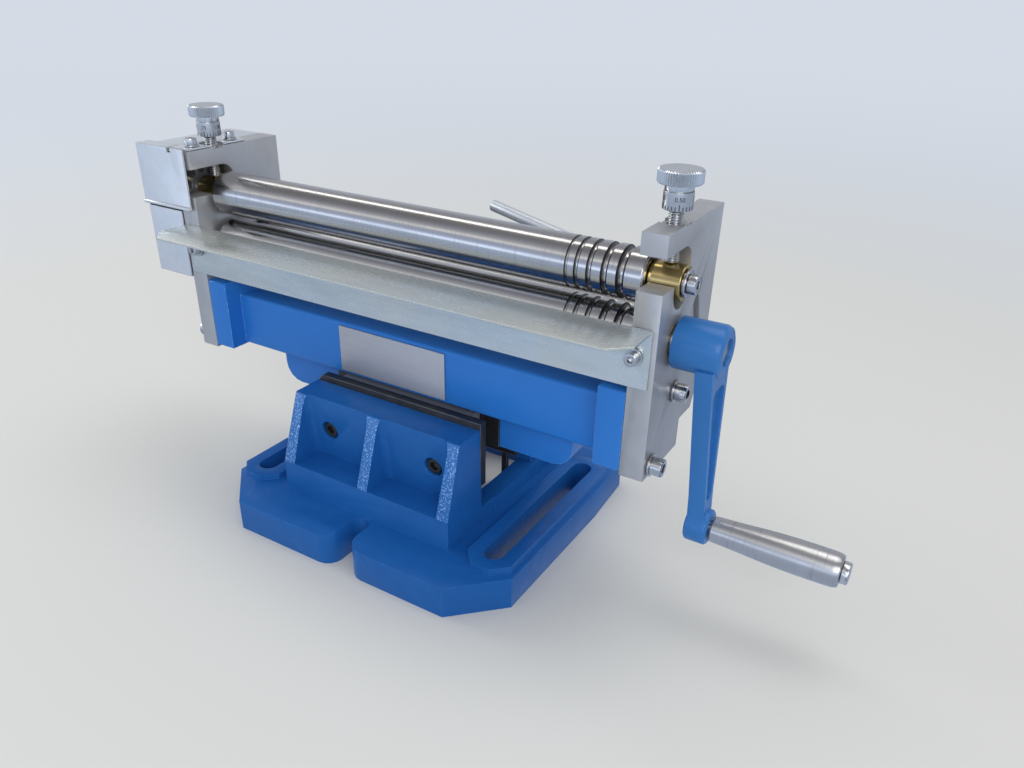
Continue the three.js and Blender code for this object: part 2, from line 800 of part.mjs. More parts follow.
piece('infeed_tray', infeedTray(), zincSheet);

const trayScrewSeatY = trayFaceY - touchGap;
const trayScrewLength = plateFrontY + screwDepth - trayScrewSeatY;
sides.forEach(({ name, sign }) => {
  piece(`tray_screw_${name}`, capScrew(m4, trayScrewLength, { captive: washerSmall, steps: 14 })
    .rotateX(Math.PI / 2)
    .translate(sign * trayScrewX, trayScrewSeatY, trayScrewZ), brightZinc);
});

// Gear cover: a sheet box open towards the plate, with an open window in its upper front
function gearCover() {
  const outer = block(coverLeftX, coverRightX, coverFrontY, plateBackY, coverLowZ, plateTopZ);
  const inner = block(
    coverLeftX + sheet, coverRightX + 1, coverFrontY + sheet, plateBackY - sheet,
    coverLowZ + sheet, plateTopZ - sheet,
  );
  const window = block(
    coverLeftX - 1, coverRightX + 1, coverFrontY - 1, coverFrontY + sheet + 0.1,
    coverLowZ + coverFrontEdge, plateTopZ - sheet,
  );
  return cut(outer, inner, cut(window, block(
    coverLeftX - 2, coverLeftX + sheet, coverFrontY - 2, coverFrontY + 2, coverLowZ, plateTopZ,
  )));
}

piece('gear_cover', gearCover(), zincSheet);

const flapBackY = coverFrontY - touchGap;
const flapTopZ = plateTopZ + touchGap + sheet;
function guardFlap() {
  const left = coverLeftX - flapLeftOver;
  const right = -plateInnerX - flapRightShort;
  const lipRight = coverRightX - flapNotch;
  const face = block(left, right, flapBackY - sheet, flapBackY, flapTopZ - flapHeight, flapTopZ);
  const topLip = block(left, lipRight, flapBackY - sheet, flapBackY + flapLip, flapTopZ - sheet, flapTopZ);
  const hem = turnedX(rod(sheet, left, right), 12).translate(0, flapBackY - sheet, flapTopZ - flapHeight + sheet);
  const notch = block(lipRight, coverRightX, flapBackY - flapNotch, flapBackY + 1, flapTopZ - flapNotch, flapTopZ + 1);
  return cut(join(face, topLip, hem), notch);
}

piece('guard_flap', guardFlap(), zincSheet);

// Keeper strip that ties the gear cover to the left plate
const keeperRightX = -plateInnerX - keeperInset;
const keeperLeftX = keeperRightX - keeperWidth;
const keeperSeatZ = plateTopZ + touchGap;
const keeperStrip = cut(
  block(
    keeperLeftX, keeperRightX, rollY - keeperLength / 2, rollY + keeperLength / 2,
    keeperSeatZ, keeperSeatZ + sheet,
  ),
  turned(rod(ringRadius, keeperSeatZ - 1, keeperSeatZ + 3)).translate(-plateMidX, rollY, 0),
  ...[-keeperScrewSpacing, keeperScrewSpacing].map((offset) => (
    screwBore(m4, keeperSeatZ - 1, keeperSeatZ + 3).translate(-plateMidX, rollY + offset, 0)
  )),
);
piece('keeper_strip', keeperStrip, zincSheet);
const keeperHeadZ = keeperSeatZ + sheet + touchGap;
[{ name: 'front', sign: -1 }, { name: 'back', sign: 1 }].forEach(({ name, sign }) => {
  const length = keeperHeadZ - plateTopZ + screwDepth;
  piece(`keeper_screw_${name}`, capScrew(m4, length, { captive: washerSmall, steps: 14 })
    .translate(-plateMidX, rollY + sign * keeperScrewSpacing, keeperHeadZ), brightZinc);
});

// Lower roll with its bushes, gear and crank; the group's axis is the roll's
function barrelProfile(journal, grooves) {
  const profile = [[journal, barrelLeft], [rollRadius - rollChamfer, barrelLeft], [rollRadius, barrelLeft + rollChamfer]];
  let x = barrelLeft + grooveStart;
  grooves.forEach((width, i) => {
    profile.push([rollRadius, x], [rollRadius - width / 2, x + width / 2], [rollRadius, x + width]);
    x += width + (grooveLands[i] ?? 0);
  });
  profile.push([rollRadius, barrelRight - rollChamfer], [rollRadius - rollChamfer, barrelRight], [journal, barrelRight]);
  return profile;
}

const lowerAxis = assembly(0, rollY, lowerRollZ);
const gearStubX = gearLeftX - touchGap;
const crankHubX = plateOuterX + hubGap;
const crankHubEndX = crankHubX + hubLength;
const lowerShoulderX = crankHubX - touchGap;
const gearShoulderX = gearRightX + touchGap;
piece('lower_roll', turnedX([
  [0, gearStubX], [gearJournalRadius, gearStubX], [gearJournalRadius, gearShoulderX],
  [lowerJournalRadius, gearShoulderX],
  ...barrelProfile(lowerJournalRadius, grooveWidths),
  [lowerJournalRadius, lowerShoulderX], [crankShaftRadius, lowerShoulderX],
  [crankShaftRadius, crankHubEndX - shaftRecess], [0, crankHubEndX - shaftRecess],
]), polishedSteel, lowerAxis);

sides.forEach(({ name, sign }) => {
  const from = sign * (plateInnerX - bushEndPlay);
  const to = sign * (plateOuterX - bushEndPlay);
  piece(`lower_bush_${name}`, turnedX(ring(
    lowerJournalRadius + turnGap, lowerBushRadius, Math.min(from, to), Math.max(from, to),
  )), brass, lowerAxis);
});

function gear(phase) {
  const stations = [
    [gearRootRadius, gearRootHalf], [gearPitchRadius, gearPitchHalf], [gearTipRadius, gearTipHalf],
  ];
  const points = [];
  for (let tooth = 0; tooth < gearTeeth; tooth += 1) {
    const middle = phase + 2 * Math.PI * tooth / gearTeeth;
    const flank = (side) => ([radius, half]) => {
      const angle = middle + side * Math.asin(half / radius);
      return new THREE.Vector2(radius * Math.cos(angle), radius * Math.sin(angle));
    };
    points.push(...stations.map(flank(-1)), ...stations.toReversed().map(flank(1)));
  }
  const bore = turnedX(rod(gearJournalRadius + touchGap, gearLeftX - 1, gearRightX + 1), 20);
  return cut(alongX(new THREE.Shape(points), gearLeftX, gearRightX), bore);
}

function gearScrew() {
  const size = { ...m6Low, head: 7.5 };
  return capScrew(size, screwDepth).rotateY(-Math.PI / 2).translate(gearStubX - touchGap, 0, 0);
}

function drilledLeft(shaft) {
  const bore = turnedX(rod(m6Low.shank + slideGap, gearStubX - 1, gearStubX + screwDepth + 1), 16);
  return cut(shaft, bore);
}

piece('drive_gear', gear(Math.PI / 2), groundSteel, lowerAxis);
piece('drive_gear_screw', gearScrew(), brightZinc, lowerAxis);
lowerAxis.children[0].geometry = drilledLeft(lowerAxis.children[0].geometry).toNonIndexed();
lowerAxis.children[0].geometry.computeVertexNormals();

// Crank arm, hanging down; its outer face has a sunk channel
function crankArm() {
  const hub = turnedX([
    [0, crankHubX], [hubRadius, crankHubX], [hubRadius, crankHubEndX - hubRounding],
    [hubRadius - hubRounding * 0.3, crankHubEndX - hubRounding * 0.3],
    [hubRadius - hubRounding, crankHubEndX], [0, crankHubEndX],
  ], 32);
  const webTop = -8;
  const webLow = -crankThrow + armStraight;
  const web = alongX(outline([
    [-armTopHalf, webTop], [-armLowHalf, webLow], [-armLowHalf, -crankThrow],
    [armLowHalf, -crankThrow], [armLowHalf, webLow], [armTopHalf, webTop],
  ]), 0, armThick);
  const channelHalf = armTopHalf - armRim - armChannelTaper;
  const channelTop = webTop - armChannelStart;
  const channelLow = webLow - armChannelEnd;
  const channel = alongX(outline([
    [-channelHalf, channelTop, armChannelRounding], [armRim - armLowHalf, channelLow, 2],
    [armLowHalf - armRim, channelLow, 2], [channelHalf, channelTop, armChannelRounding],
  ]), armThick - armChannelDepth, armThick + 1);
  const armX = crankHubX + armInset;
  const lean = THREE.MathUtils.degToRad(armLean);
  const arm = cut(web, channel).rotateY(-lean).translate(armX, 0, 0);
  const bossOutX = plateOuterX + handleBossOut;
  const boss = turnedX([
    [0, bossOutX - handleBossLength], [handleBossRadius - 1, bossOutX - handleBossLength],
    [handleBossRadius, bossOutX - handleBossLength + 1], [handleBossRadius, bossOutX - 1],
    [handleBossRadius - 1, bossOutX], [0, bossOutX],
  ]).translate(0, 0, -crankThrow);
  const shaftBore = turnedX(rod(crankShaftRadius + turnGap, crankHubX - 1, crankHubEndX + 1));
  const pinBore = turnedX(rod(handleBore - touchGap + turnGap, bossOutX - 2 * handleBossLength, bossOutX + 1), 16)
    .translate(0, 0, -crankThrow);
  const grubBore = turnedY(rod(m6.shank + slideGap, 0, hubRadius + 1), 16)
    .translate(crankHubX + hubLength / 3, 0, 0);
  return cut(join(hub, arm, boss), shaftBore, pinBore, grubBore);
}

piece('crank_arm', crankArm(), bluePaint, lowerAxis);
piece('crank_grub_screw', turnedY(rod(m6.shank, crankShaftRadius + touchGap, hubRadius - 0.6), 16)
  .translate(crankHubX + hubLength / 3, 0, 0), blackSteel, lowerAxis);

// Handle sleeve on its pin, in the crank's group
const handleAxis = assembly(0, 0, -crankThrow, lowerAxis);
const handleX = plateOuterX + handleBossOut + handleStart;
const handleEndX = handleX + handleLength;
piece('handle_sleeve', turnedX([
  [handleBore, handleX], [handleThin - 0.4, handleX], [handleThin, handleX + 1],
  [handleThin + 0.6, handleX + handleLength * 0.2], [handleThick - 0.3, handleX + handleLength * 0.5],
  [handleThick, handleX + handleLength * 0.75], [handleThick - 0.2, handleEndX - 3],
  [handleThick - 1, handleEndX], [handleBore, handleEndX], [handleBore, handleX],
]), polishedSteel, handleAxis);
const handlePinRadius = handleBore - turnGap;
const handleHeadX = handleEndX + touchGap;
const handleHeadTopX = handleHeadX + handleHeadHeight;
const handleSlot = block(
  handleHeadTopX - handleSlotDepth, handleHeadTopX + 1, -handleHeadRadius - 1, handleHeadRadius + 1,
  -handleSlotWidth / 2, handleSlotWidth / 2,
);
piece('handle_screw', cut(turnedX([
  [0, handleX - handleBossLength], [handlePinRadius, handleX - handleBossLength],
  [handlePinRadius, handleHeadX], [handleHeadRadius, handleHeadX], [handleHeadRadius, handleHeadTopX - 0.6],
  [handleHeadRadius - 0.6, handleHeadTopX], [0, handleHeadTopX],
], 20), handleSlot), brightZinc, handleAxis);

// Upper roll in its sliding bushes
const upperAxis = assembly(0, rollY, upperRollZ);
const bushOuterX = plateOuterX + upperBushOuter;
const bushInnerX = plateInnerX - upperBushInner;
sides.forEach(({ name, sign }) => {
  piece(`upper_bush_${name}`, turnedX(ring(
    upperJournalRadius + turnGap, upperBushRadius,
    sign > 0 ? bushInnerX : -bushOuterX, sign > 0 ? bushOuterX : -bushInnerX,
  ), 32), brass, upperAxis);
});
const upperEndX = bushOuterX + touchGap;
const upperRoll = turnedX([
  [0, gearStubX], [gearJournalRadius, gearStubX], [gearJournalRadius, gearShoulderX],
  [upperJournalRadius, gearShoulderX],
  ...barrelProfile(upperJournalRadius, grooveWidths),
  [upperJournalRadius, upperEndX], [0, upperEndX],
]);
const upperEndBore = turnedX(rod(m6.shank + slideGap, upperEndX - screwDepth - 1, upperEndX + 1), 16);
piece('upper_roll', drilledLeft(cut(upperRoll, upperEndBore)), polishedSteel, upperAxis);
piece('upper_gear', gear(-Math.PI / 2 + Math.PI / gearTeeth), groundSteel, upperAxis);
piece('upper_gear_screw', gearScrew(), brightZinc, upperAxis);
piece('roll_end_washer', washer(washerEnd, m6.shank + touchGap)
  .rotateY(Math.PI / 2).translate(upperEndX + touchGap, 0, 0), brightZinc, upperAxis);
piece('roll_end_screw', capScrew(m6Low, screwDepth + washerEnd.thick + touchGap)
  .rotateY(Math.PI / 2).translate(upperEndX + washerEnd.thick + 2 * touchGap, 0, 0), brightZinc, upperAxis);

// Adjusting screws with their dial collars and knobs, and the springs that carry the bushes
const screwTipZ = upperRollZ + upperBushRadius + touchGap;
const collarZ = plateTopZ + lowering + collarClearance;
const knobZ = collarZ + collarHeight + neckHeight;
sides.forEach(({ name, sign }) => {
  const axis = assembly(sign * plateMidX, rollY, 0);
  piece(`adjusting_screw_${name}`, turned([
    [0, screwTipZ], [screwRadius - 0.8, screwTipZ], [screwRadius, screwTipZ + 0.8],
    [screwRadius, knobZ + knobHeight - screwHeadroom - touchGap], [0, knobZ + knobHeight - screwHeadroom - touchGap],
  ], 20), brightZinc, axis);
  piece(`dial_collar_${name}`, turned([
    [screwRadius + touchGap, collarZ], [collarRadius - 0.5, collarZ], [collarRadius, collarZ + 0.5],
    [collarRadius, collarZ + collarHeight - 0.4], [collarRadius - 0.4, collarZ + collarHeight],
    [neckRadius, collarZ + collarHeight], [neckRadius, knobZ - touchGap],
    [screwRadius + touchGap, knobZ - touchGap], [screwRadius + touchGap, collarZ],
  ]), brightZinc, axis);
  piece(`knob_${name}`, cut(turned([
    [0, knobZ], [knobRadius - 0.8, knobZ], [knobRadius, knobZ + 0.8],
    [knobRadius, knobZ + knobHeight - 0.8], [knobRadius - 0.8, knobZ + knobHeight], [0, knobZ + knobHeight],
  ], 28), turned(rod(screwRadius + touchGap, knobZ - 1, knobZ + knobHeight - screwHeadroom), 20)), brightZinc, axis);
  const springLowZ = seatLowZ - seatRadius - springWellDepth + touchGap;
  piece(`lift_spring_${name}`, turned(ring(
    springRadius - springWire, springRadius, springLowZ, upperRollZ - upperBushRadius - touchGap,
  ), 16), springSteel, axis);
});

// Rear roll on its saddles; the group leans with the slot
const rearAxis = assembly(0, rearRollY, rearRollZ);
piece('rear_roll', turnedX([
  [0, -plateOuterX + rearJournalInset], [rearJournalRadius, -plateOuterX + rearJournalInset],
  ...barrelProfile(rearJournalRadius, []),
  [rearJournalRadius, plateOuterX - rearJournalInset], [0, plateOuterX - rearJournalInset],
]), polishedSteel, rearAxis);
rearAxis.rotation.x = THREE.MathUtils.degToRad(rearLean);
sides.forEach(({ name, sign }) => {
  const half = rearSlotWidth / 2 - slideGap;
  const saddle = cut(alongX(outline([
    [-half, -saddleHeight], [half, -saddleHeight], [half, -saddleTopDrop], [-half, -saddleTopDrop],
  ]), saddleSideGap - plateThick / 2, plateThick / 2 - saddleSideGap), turnedX(rod(
    rearJournalRadius + touchGap, -plateThick, plateThick,
  )));
  piece(`rear_saddle_${name}`, saddle.translate(sign * plateMidX, 0, 0), brass, rearAxis);
  const screw = cut(
    turned(rod(rearScrewRadius, -saddleHeight - touchGap - rearScrewLength, -saddleHeight - touchGap), 16),
    alongZ(circleOutline(0, 0, 1.7, 6), -saddleHeight - rearScrewLength - 1, -saddleHeight - rearScrewLength + 3),
  );
  piece(`rear_set_screw_${name}`, screw.translate(sign * plateMidX, 0, 0), blackSteel, rearAxis);
});

// Lock lever behind the right plate: screw, hub and rod turn together about Y
const leverHalf = leverHubLength / 2;
const leverY = plateBackY + leverHalf;
const leverAxis = assembly(leverX, leverY, leverZ);
const lockTipY = rearRollY + rearSlotWidth - leverY;
const leverTurn = THREE.MathUtils.degToRad(leverTilt);
piece('lock_screw', turnedY(rod(lockScrewRadius, lockTipY, leverHalf - 1), 20), groundSteel, leverAxis);
const leverHub = cut(
  turnedY(ring(lockScrewRadius + touchGap, leverHubRadius, -leverHalf + touchGap, leverHalf), 28),
  turnedX(rod(leverRodRadius + touchGap, -2 * leverHubRadius, 0), 20).rotateY(leverTurn),
);
piece('lever_hub', leverHub, groundSteel, leverAxis);
const leverRodStart = -lockScrewRadius - 2 * touchGap;
piece('lever_rod', turnedX([
  [0, -leverRodLength], [leverRodRadius - leverRodChamfer, -leverRodLength],
  [leverRodRadius, -leverRodLength + leverRodChamfer], [leverRodRadius, leverRodStart], [0, leverRodStart],
], 20).rotateY(leverTurn), groundSteel, leverAxis);

// Moving jaw behind the boss
piece('rear_jaw_plate', jawPlateGeometry(movingPlateY, movingJawLow, []), blackSteel);
const guideY = movingJawY + guideBehind;
const spindleFrontY = guideY + guideThick + spindleFromGuide;
const spindlePinX = spindleGrooveRadius + touchGap + spindlePinRadius;
const spindlePinY = movingJawBackY - spindlePinInset;
function movingJaw() {
  const side = outline([
    [movingJawY, movingJawLow], [movingJawBackY, movingJawLow], [movingJawBackY, movingJawLow + movingLedge],
    [movingJawBackY - movingJawStep, movingJawHigh], [movingJawY, movingJawHigh],
  ]);
  const head = alongX(side, -jawPlateHalf, jawPlateHalf);
  const web = block(
    -movingWebHalf, movingWebHalf, guideY + guideThick + touchGap, movingJawBackY, movingWebLow, movingJawLow + 1,
  );
  const footLow = railHeight + touchGap;
  const foot = block(
    -railOuter + movingFootInset, railOuter - movingFootInset, movingJawBackY - movingFootDepth, movingJawBackY, footLow, movingJawLow + 1,
  );
  const bore = turnedY(rod(spindleRadius + turnGap, spindleFrontY - touchGap, movingJawBackY + 1))
    .translate(0, 0, spindleZ);
  const pinBore = turned(rod(spindlePinRadius + touchGap, movingWebLow - 1, spindleZ + spindlePinRise + 1), 12)
    .translate(spindlePinX, spindlePinY, 0);
  return cut(join(head, web, foot), bore, pinBore);
}

piece('moving_jaw', movingJaw(), bluePaint);
const guideHalf = bedHalf - guideSideGap;
const guideTopZ = movingJawLow - touchGap;
piece('jaw_guide_plate', cut(
  block(-guideHalf, guideHalf, guideY, guideY + guideThick, guideLow, guideTopZ),
  block(
    guideLegWidth - guideHalf, guideHalf - guideLegWidth, guideY - 1, guideY + guideThick + 1,
    guideLow - 1, guideTopZ - guideBarHeight,
  ),
), blackSteel);
const spindleBackY = spindleFrontY + spindleLength;
const spindle = join(
  turnedY([
    [0, spindleFrontY], [spindleRadius, spindleFrontY],
    [spindleRadius, spindlePinY - spindlePinRadius - touchGap], [spindleGrooveRadius, spindlePinY - spindlePinRadius - touchGap],
    [spindleGrooveRadius, spindlePinY + spindlePinRadius + touchGap], [spindleRadius, spindlePinY + spindlePinRadius + touchGap],
    [spindleRadius, spindleBackY], [0, spindleBackY],
  ]),
  alongY(circleOutline(0, 0, spindleSquare / Math.sqrt(3), 6), spindleBackY - 1, spindleBackY + spindleSquareLength),
).translate(0, 0, spindleZ);
piece('clamp_spindle', spindle, groundSteel);
piece('spindle_pin', turned(rod(spindlePinRadius, movingWebLow + touchGap, spindleZ + spindlePinRise), 12)
  .translate(spindlePinX, spindlePinY, 0), groundSteel);

export default machine;
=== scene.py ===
import json
import math

import bmesh
import bpy
from mathutils import Matrix, Vector


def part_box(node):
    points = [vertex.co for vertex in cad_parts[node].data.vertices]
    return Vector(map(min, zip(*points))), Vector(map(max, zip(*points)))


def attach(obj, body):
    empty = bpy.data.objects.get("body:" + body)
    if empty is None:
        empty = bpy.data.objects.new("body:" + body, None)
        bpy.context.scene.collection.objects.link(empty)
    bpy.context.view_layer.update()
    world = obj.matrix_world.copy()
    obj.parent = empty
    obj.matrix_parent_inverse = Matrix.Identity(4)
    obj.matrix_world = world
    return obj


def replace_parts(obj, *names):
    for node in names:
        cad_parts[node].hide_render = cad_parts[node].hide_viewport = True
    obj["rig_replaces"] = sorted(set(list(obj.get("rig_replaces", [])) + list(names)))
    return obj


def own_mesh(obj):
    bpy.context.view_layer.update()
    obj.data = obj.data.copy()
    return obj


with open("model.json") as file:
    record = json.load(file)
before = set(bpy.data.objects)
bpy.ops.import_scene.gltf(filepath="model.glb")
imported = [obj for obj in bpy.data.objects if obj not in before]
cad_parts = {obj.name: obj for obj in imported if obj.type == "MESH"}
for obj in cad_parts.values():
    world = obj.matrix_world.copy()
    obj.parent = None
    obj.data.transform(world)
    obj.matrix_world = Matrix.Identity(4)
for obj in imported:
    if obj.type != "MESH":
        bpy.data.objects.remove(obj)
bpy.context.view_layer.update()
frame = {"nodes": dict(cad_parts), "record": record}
nodes = frame["nodes"]
bodies = frame["record"]["behaviour"]["bodies"]
bodyOf = {name: body for body, names in bodies.items() for name in names}
sides = ("left", "right")
mm = 0.001
fullTurn = 2 * math.pi


# Camera

view = {
    "place": (296.853, -387.057, 325.731),
    "azimuth": 31.2151,
    "elevation": 28.3929,
    "roll": 1.0892,
    "lens": 29.627,
    "sensor": 36,
    "shift": (0.00802, 0.03474),
    "clip": (0.01, 50),
}


def makeCamera():
    azimuth, elevation, roll = (math.radians(view[key]) for key in ("azimuth", "elevation", "roll"))
    ahead = Vector((
        -math.sin(azimuth) * math.cos(elevation),
        math.cos(azimuth) * math.cos(elevation),
        -math.sin(elevation),
    ))
    level = Vector((math.cos(azimuth), math.sin(azimuth), 0))
    upright = level.cross(ahead)
    right = math.cos(roll) * level + math.sin(roll) * upright
    up = math.cos(roll) * upright - math.sin(roll) * level
    data = bpy.data.cameras.new("camera")
    data.lens = view["lens"]
    data.sensor_width = view["sensor"]
    data.shift_x, data.shift_y = view["shift"]
    data.clip_start, data.clip_end = view["clip"]
    camera = bpy.data.objects.new("camera", data)
    turned = Matrix((right, up, -ahead)).transposed().to_4x4()
    camera.matrix_world = Matrix.Translation(Vector(view["place"]) * mm) @ turned
    bpy.context.scene.collection.objects.link(camera)
    bpy.context.scene.camera = camera


# Node helpers

def addNode(tree, kind, inputs=None, **settings):
    made = tree.nodes.new(kind)
    for key, value in settings.items():
        setattr(made, key, value)
    for key, value in (inputs or {}).items():
        if isinstance(value, bpy.types.NodeSocket):
            tree.links.new(value, made.inputs[key])
        else:
            made.inputs[key].default_value = value
    return made


def calculate(tree, operation, first, second=None, third=None):
    given = {index: value for index, value in enumerate((first, second, third)) if value is not None}
    return addNode(tree, "ShaderNodeMath", given, operation=operation).outputs[0]


def mixColours(tree, share, first, second):
    return addNode(tree, "ShaderNodeMix", {0: share, 6: first, 7: second}, data_type="RGBA").outputs[2]


def mixShaders(tree, share, first, second):
    return addNode(tree, "ShaderNodeMixShader", {0: share, 1: first.outputs[0], 2: second.outputs[0]})


def spread(tree, value, low, high, newLow=0.0, newHigh=1.0):
    given = {"Value": value, "From Min": low, "From Max": high, "To Min": newLow, "To Max": newHigh}
    return addNode(tree, "ShaderNodeMapRange", given).outputs["Result"]


def newGroup(name, kind, inputs, outputs):
    group = bpy.data.node_groups.new(name, kind)
    for label, socketKind, default in inputs:
        socket = group.interface.new_socket(label, in_out="INPUT", socket_type=socketKind)
        if default is not None:
            socket.default_value = default
    for label, socketKind in outputs:
        group.interface.new_socket(label, in_out="OUTPUT", socket_type=socketKind)
    return group, group.nodes.new("NodeGroupInput"), group.nodes.new("NodeGroupOutput")


# Floor, light and the room that shiny faces mirror

studio = {
    "floorColour": (0.70, 0.69, 0.655, 1),
    "floorRoughness": 0.7,
    "backdrop": (0.66, 0.71, 0.79, 1),
    "fillColour": (0.90, 0.94, 1.0, 1),
    "fillStrength": 0.62,
    "floorSize": 12.0,
    "fade": (0.55, 5.0),
    # the floor as shiny faces mirror it: distance from a place behind the machine, as a share of
    # shineReach, and colour; the dark first stops are painted shade on the mirrored floor under and behind
    # the machine
    "shineFrom": (-0.45, 0.8, 0.0),
    "shineReach": 2.0,
    "shine": [
        (0.0, (0.03, 0.035, 0.045)), (0.34, (0.05, 0.06, 0.08)), (0.47, (0.45, 0.53, 0.68)),
        (0.80, (0.46, 0.57, 0.77)), (0.95, (0.48, 0.59, 0.79)),
    ],
    # angle from the horizon behind, over the top, to the horizon in front; colour
    "room": [
        (0, (0.54, 0.58, 0.66)), (20, (0.49, 0.53, 0.60)), (34, (0.42, 0.45, 0.51)),
        (50, (0.36, 0.37, 0.42)), (66, (0.34, 0.34, 0.37)), (90, (0.23, 0.23, 0.235)),
        (108, (0.24, 0.25, 0.29)), (122, (0.38, 0.39, 0.46)), (133, (0.58, 0.60, 0.64)),
        (138, (1.00, 1.02, 1.04)), (143, (1.00, 1.02, 1.06)), (149, (0.46, 0.51, 0.64)),
        (162, (0.48, 0.56, 0.77)), (167, (0.62, 0.72, 0.98)), (171, (1.25, 1.47, 1.88)),
        (180, (1.25, 1.47, 1.88)),
    ],
    "lamps": [
        # place, aim, turn about its own beam in degrees, size, watts, colour
        ((-1.15, 0.50, 1.62), (-1.15, 0.50, 0.15), 163, (2.2, 0.28), 4.6, (1.0, 0.99, 0.97)),
        ((-2.4, -0.35, 0.8), (0.0, 0.0, 0.12), 0, (0.8, 0.8), 14, (0.95, 0.98, 1.0)),
        ((1.1, -1.5, 1.1), (0.0, 0.0, 0.12), 0, (1.2, 1.0), 14, (0.98, 0.99, 1.0)),
        ((0.35, 0.35, 1.7), (0.0, 0.0, 0.12), 0, (0.9, 0.9), 6, (1.0, 1.0, 1.0)),
    ],
}


def fillRamp(ramp, stops):
    held = ramp.color_ramp.elements
    held[0].position, held[1].position = stops[0][0], stops[-1][0]
    held[0].color, held[1].color = (*stops[0][1], 1), (*stops[-1][1], 1)
    for place, colour in stops[1:-1]:
        held.new(place).color = (*colour, 1)


def makeWorld():
    world = bpy.data.worlds.new("studio")
    bpy.context.scene.world = world
    world.use_nodes = True
    tree = world.node_tree
    tree.nodes.clear()
    direction = addNode(tree, "ShaderNodeTexCoord").outputs["Generated"]
    parts = addNode(tree, "ShaderNodeSeparateXYZ", {0: direction}).outputs
    turn = calculate(tree, "DIVIDE", calculate(tree, "ARCTAN2", parts[2], parts[1]), math.pi)
    room = addNode(tree, "ShaderNodeValToRGB", {0: turn})
    fillRamp(room, [(degrees / 180, colour) for degrees, colour in studio["room"]])
    fill = addNode(tree, "ShaderNodeBackground", {0: studio["fillColour"], 1: studio["fillStrength"]})
    mirrored = addNode(tree, "ShaderNodeBackground", {0: room.outputs[0], 1: 1.0})
    backdrop = addNode(tree, "ShaderNodeBackground", {0: studio["backdrop"], 1: 1.0})
    rays = addNode(tree, "ShaderNodeLightPath").outputs
    inShine = mixShaders(tree, rays["Is Glossy Ray"], fill, mirrored)
    whole = mixShaders(tree, rays["Is Camera Ray"], inShine, backdrop)
    addNode(tree, "ShaderNodeOutputWorld", {0: whole.outputs[0]})


# The floor turns into the backdrop's colour with distance, so no horizon shows
def makeFloor():
    half = studio["floorSize"] / 2
    corners = [(-half, -half, 0), (half, -half, 0), (half, half, 0), (-half, half, 0)]
    mesh = bpy.data.meshes.new("floor")
    mesh.from_pydata(corners, [], [(0, 1, 2, 3)])
    floor = bpy.data.objects.new("floor", mesh)
    bpy.context.scene.collection.objects.link(floor)
    paint = bpy.data.materials.new("floorPaint")
    paint.use_nodes = True
    tree = paint.node_tree
    shader = tree.nodes["Principled BSDF"]
    shader.inputs["Base Color"].default_value = studio["floorColour"]
    shader.inputs["Roughness"].default_value = studio["floorRoughness"]
    where = addNode(tree, "ShaderNodeTexCoord").outputs["Object"]
    away = addNode(tree, "ShaderNodeVectorMath", {0: where}, operation="LENGTH").outputs["Value"]
    glow = addNode(tree, "ShaderNodeEmission", {0: studio["backdrop"], 1: 1.0})
    near, far = (1 / distance for distance in studio["fade"])
    share = addNode(tree, "ShaderNodeMapRange", {
        "Value": calculate(tree, "DIVIDE", 1.0, away), "From Min": near, "From Max": far,
    }, interpolation_type="SMOOTHSTEP").outputs["Result"]
    faded = mixShaders(tree, share, shader, glow)
    # the floor as shiny faces see it: a painted reflection, dark near the machine as painted shade
    fromBack = addNode(tree, "ShaderNodeVectorMath", {0: where, 1: studio["shineFrom"]}, operation="DISTANCE")
    shineShare = calculate(tree, "DIVIDE", fromBack.outputs["Value"], studio["shineReach"])
    shine = addNode(tree, "ShaderNodeValToRGB", {0: shineShare})
    fillRamp(shine, studio["shine"])
    mirrored = addNode(tree, "ShaderNodeEmission", {0: shine.outputs[0], 1: 1.0})
    isGlossy = addNode(tree, "ShaderNodeLightPath").outputs["Is Glossy Ray"]
    whole = mixShaders(tree, isGlossy, faded, mirrored)
    tree.links.new(whole.outputs[0], tree.nodes["Material Output"].inputs[0])
    mesh.materials.append(paint)


def makeLamp(name, place, aim, turn, size, watts, colour):
    data = bpy.data.lights.new(name, "AREA")
    data.shape = "RECTANGLE"
    data.size, data.size_y = size
    data.energy = watts
    data.color = colour
    lamp = bpy.data.objects.new(name, data)
    lamp.location = place
    aimed = (Vector(aim) - Vector(place)).to_track_quat("-Z", "Y").to_matrix()
    lamp.rotation_euler = (aimed @ Matrix.Rotation(math.radians(turn), 3, "Z")).to_euler()
    bpy.context.scene.collection.objects.link(lamp)


def makeStage():
    bpy.context.scene.view_settings.view_transform = "Standard"
    makeWorld()
    makeFloor()
    for index, lamp in enumerate(studio["lamps"]):
        makeLamp(f"lamp{index}", *lamp)


# Shared effects: the skin of a paint and the skin of a machined metal

# A span is the stretch of a noise that shows, from and to, and where given the least and greatest share
paintNoise = {
    "broadScale": 14.0,
    "broadSpan": (0.35, 0.7, 0.0, 0.6),
    "lumpSpan": (0.3, 0.7, 0.0, 0.3),
    "glintSpan": (0.56, 0.66),
    "lumpMatt": 0.16,
    "mattShift": 0.06,
    "peelHeight": 0.4,
}


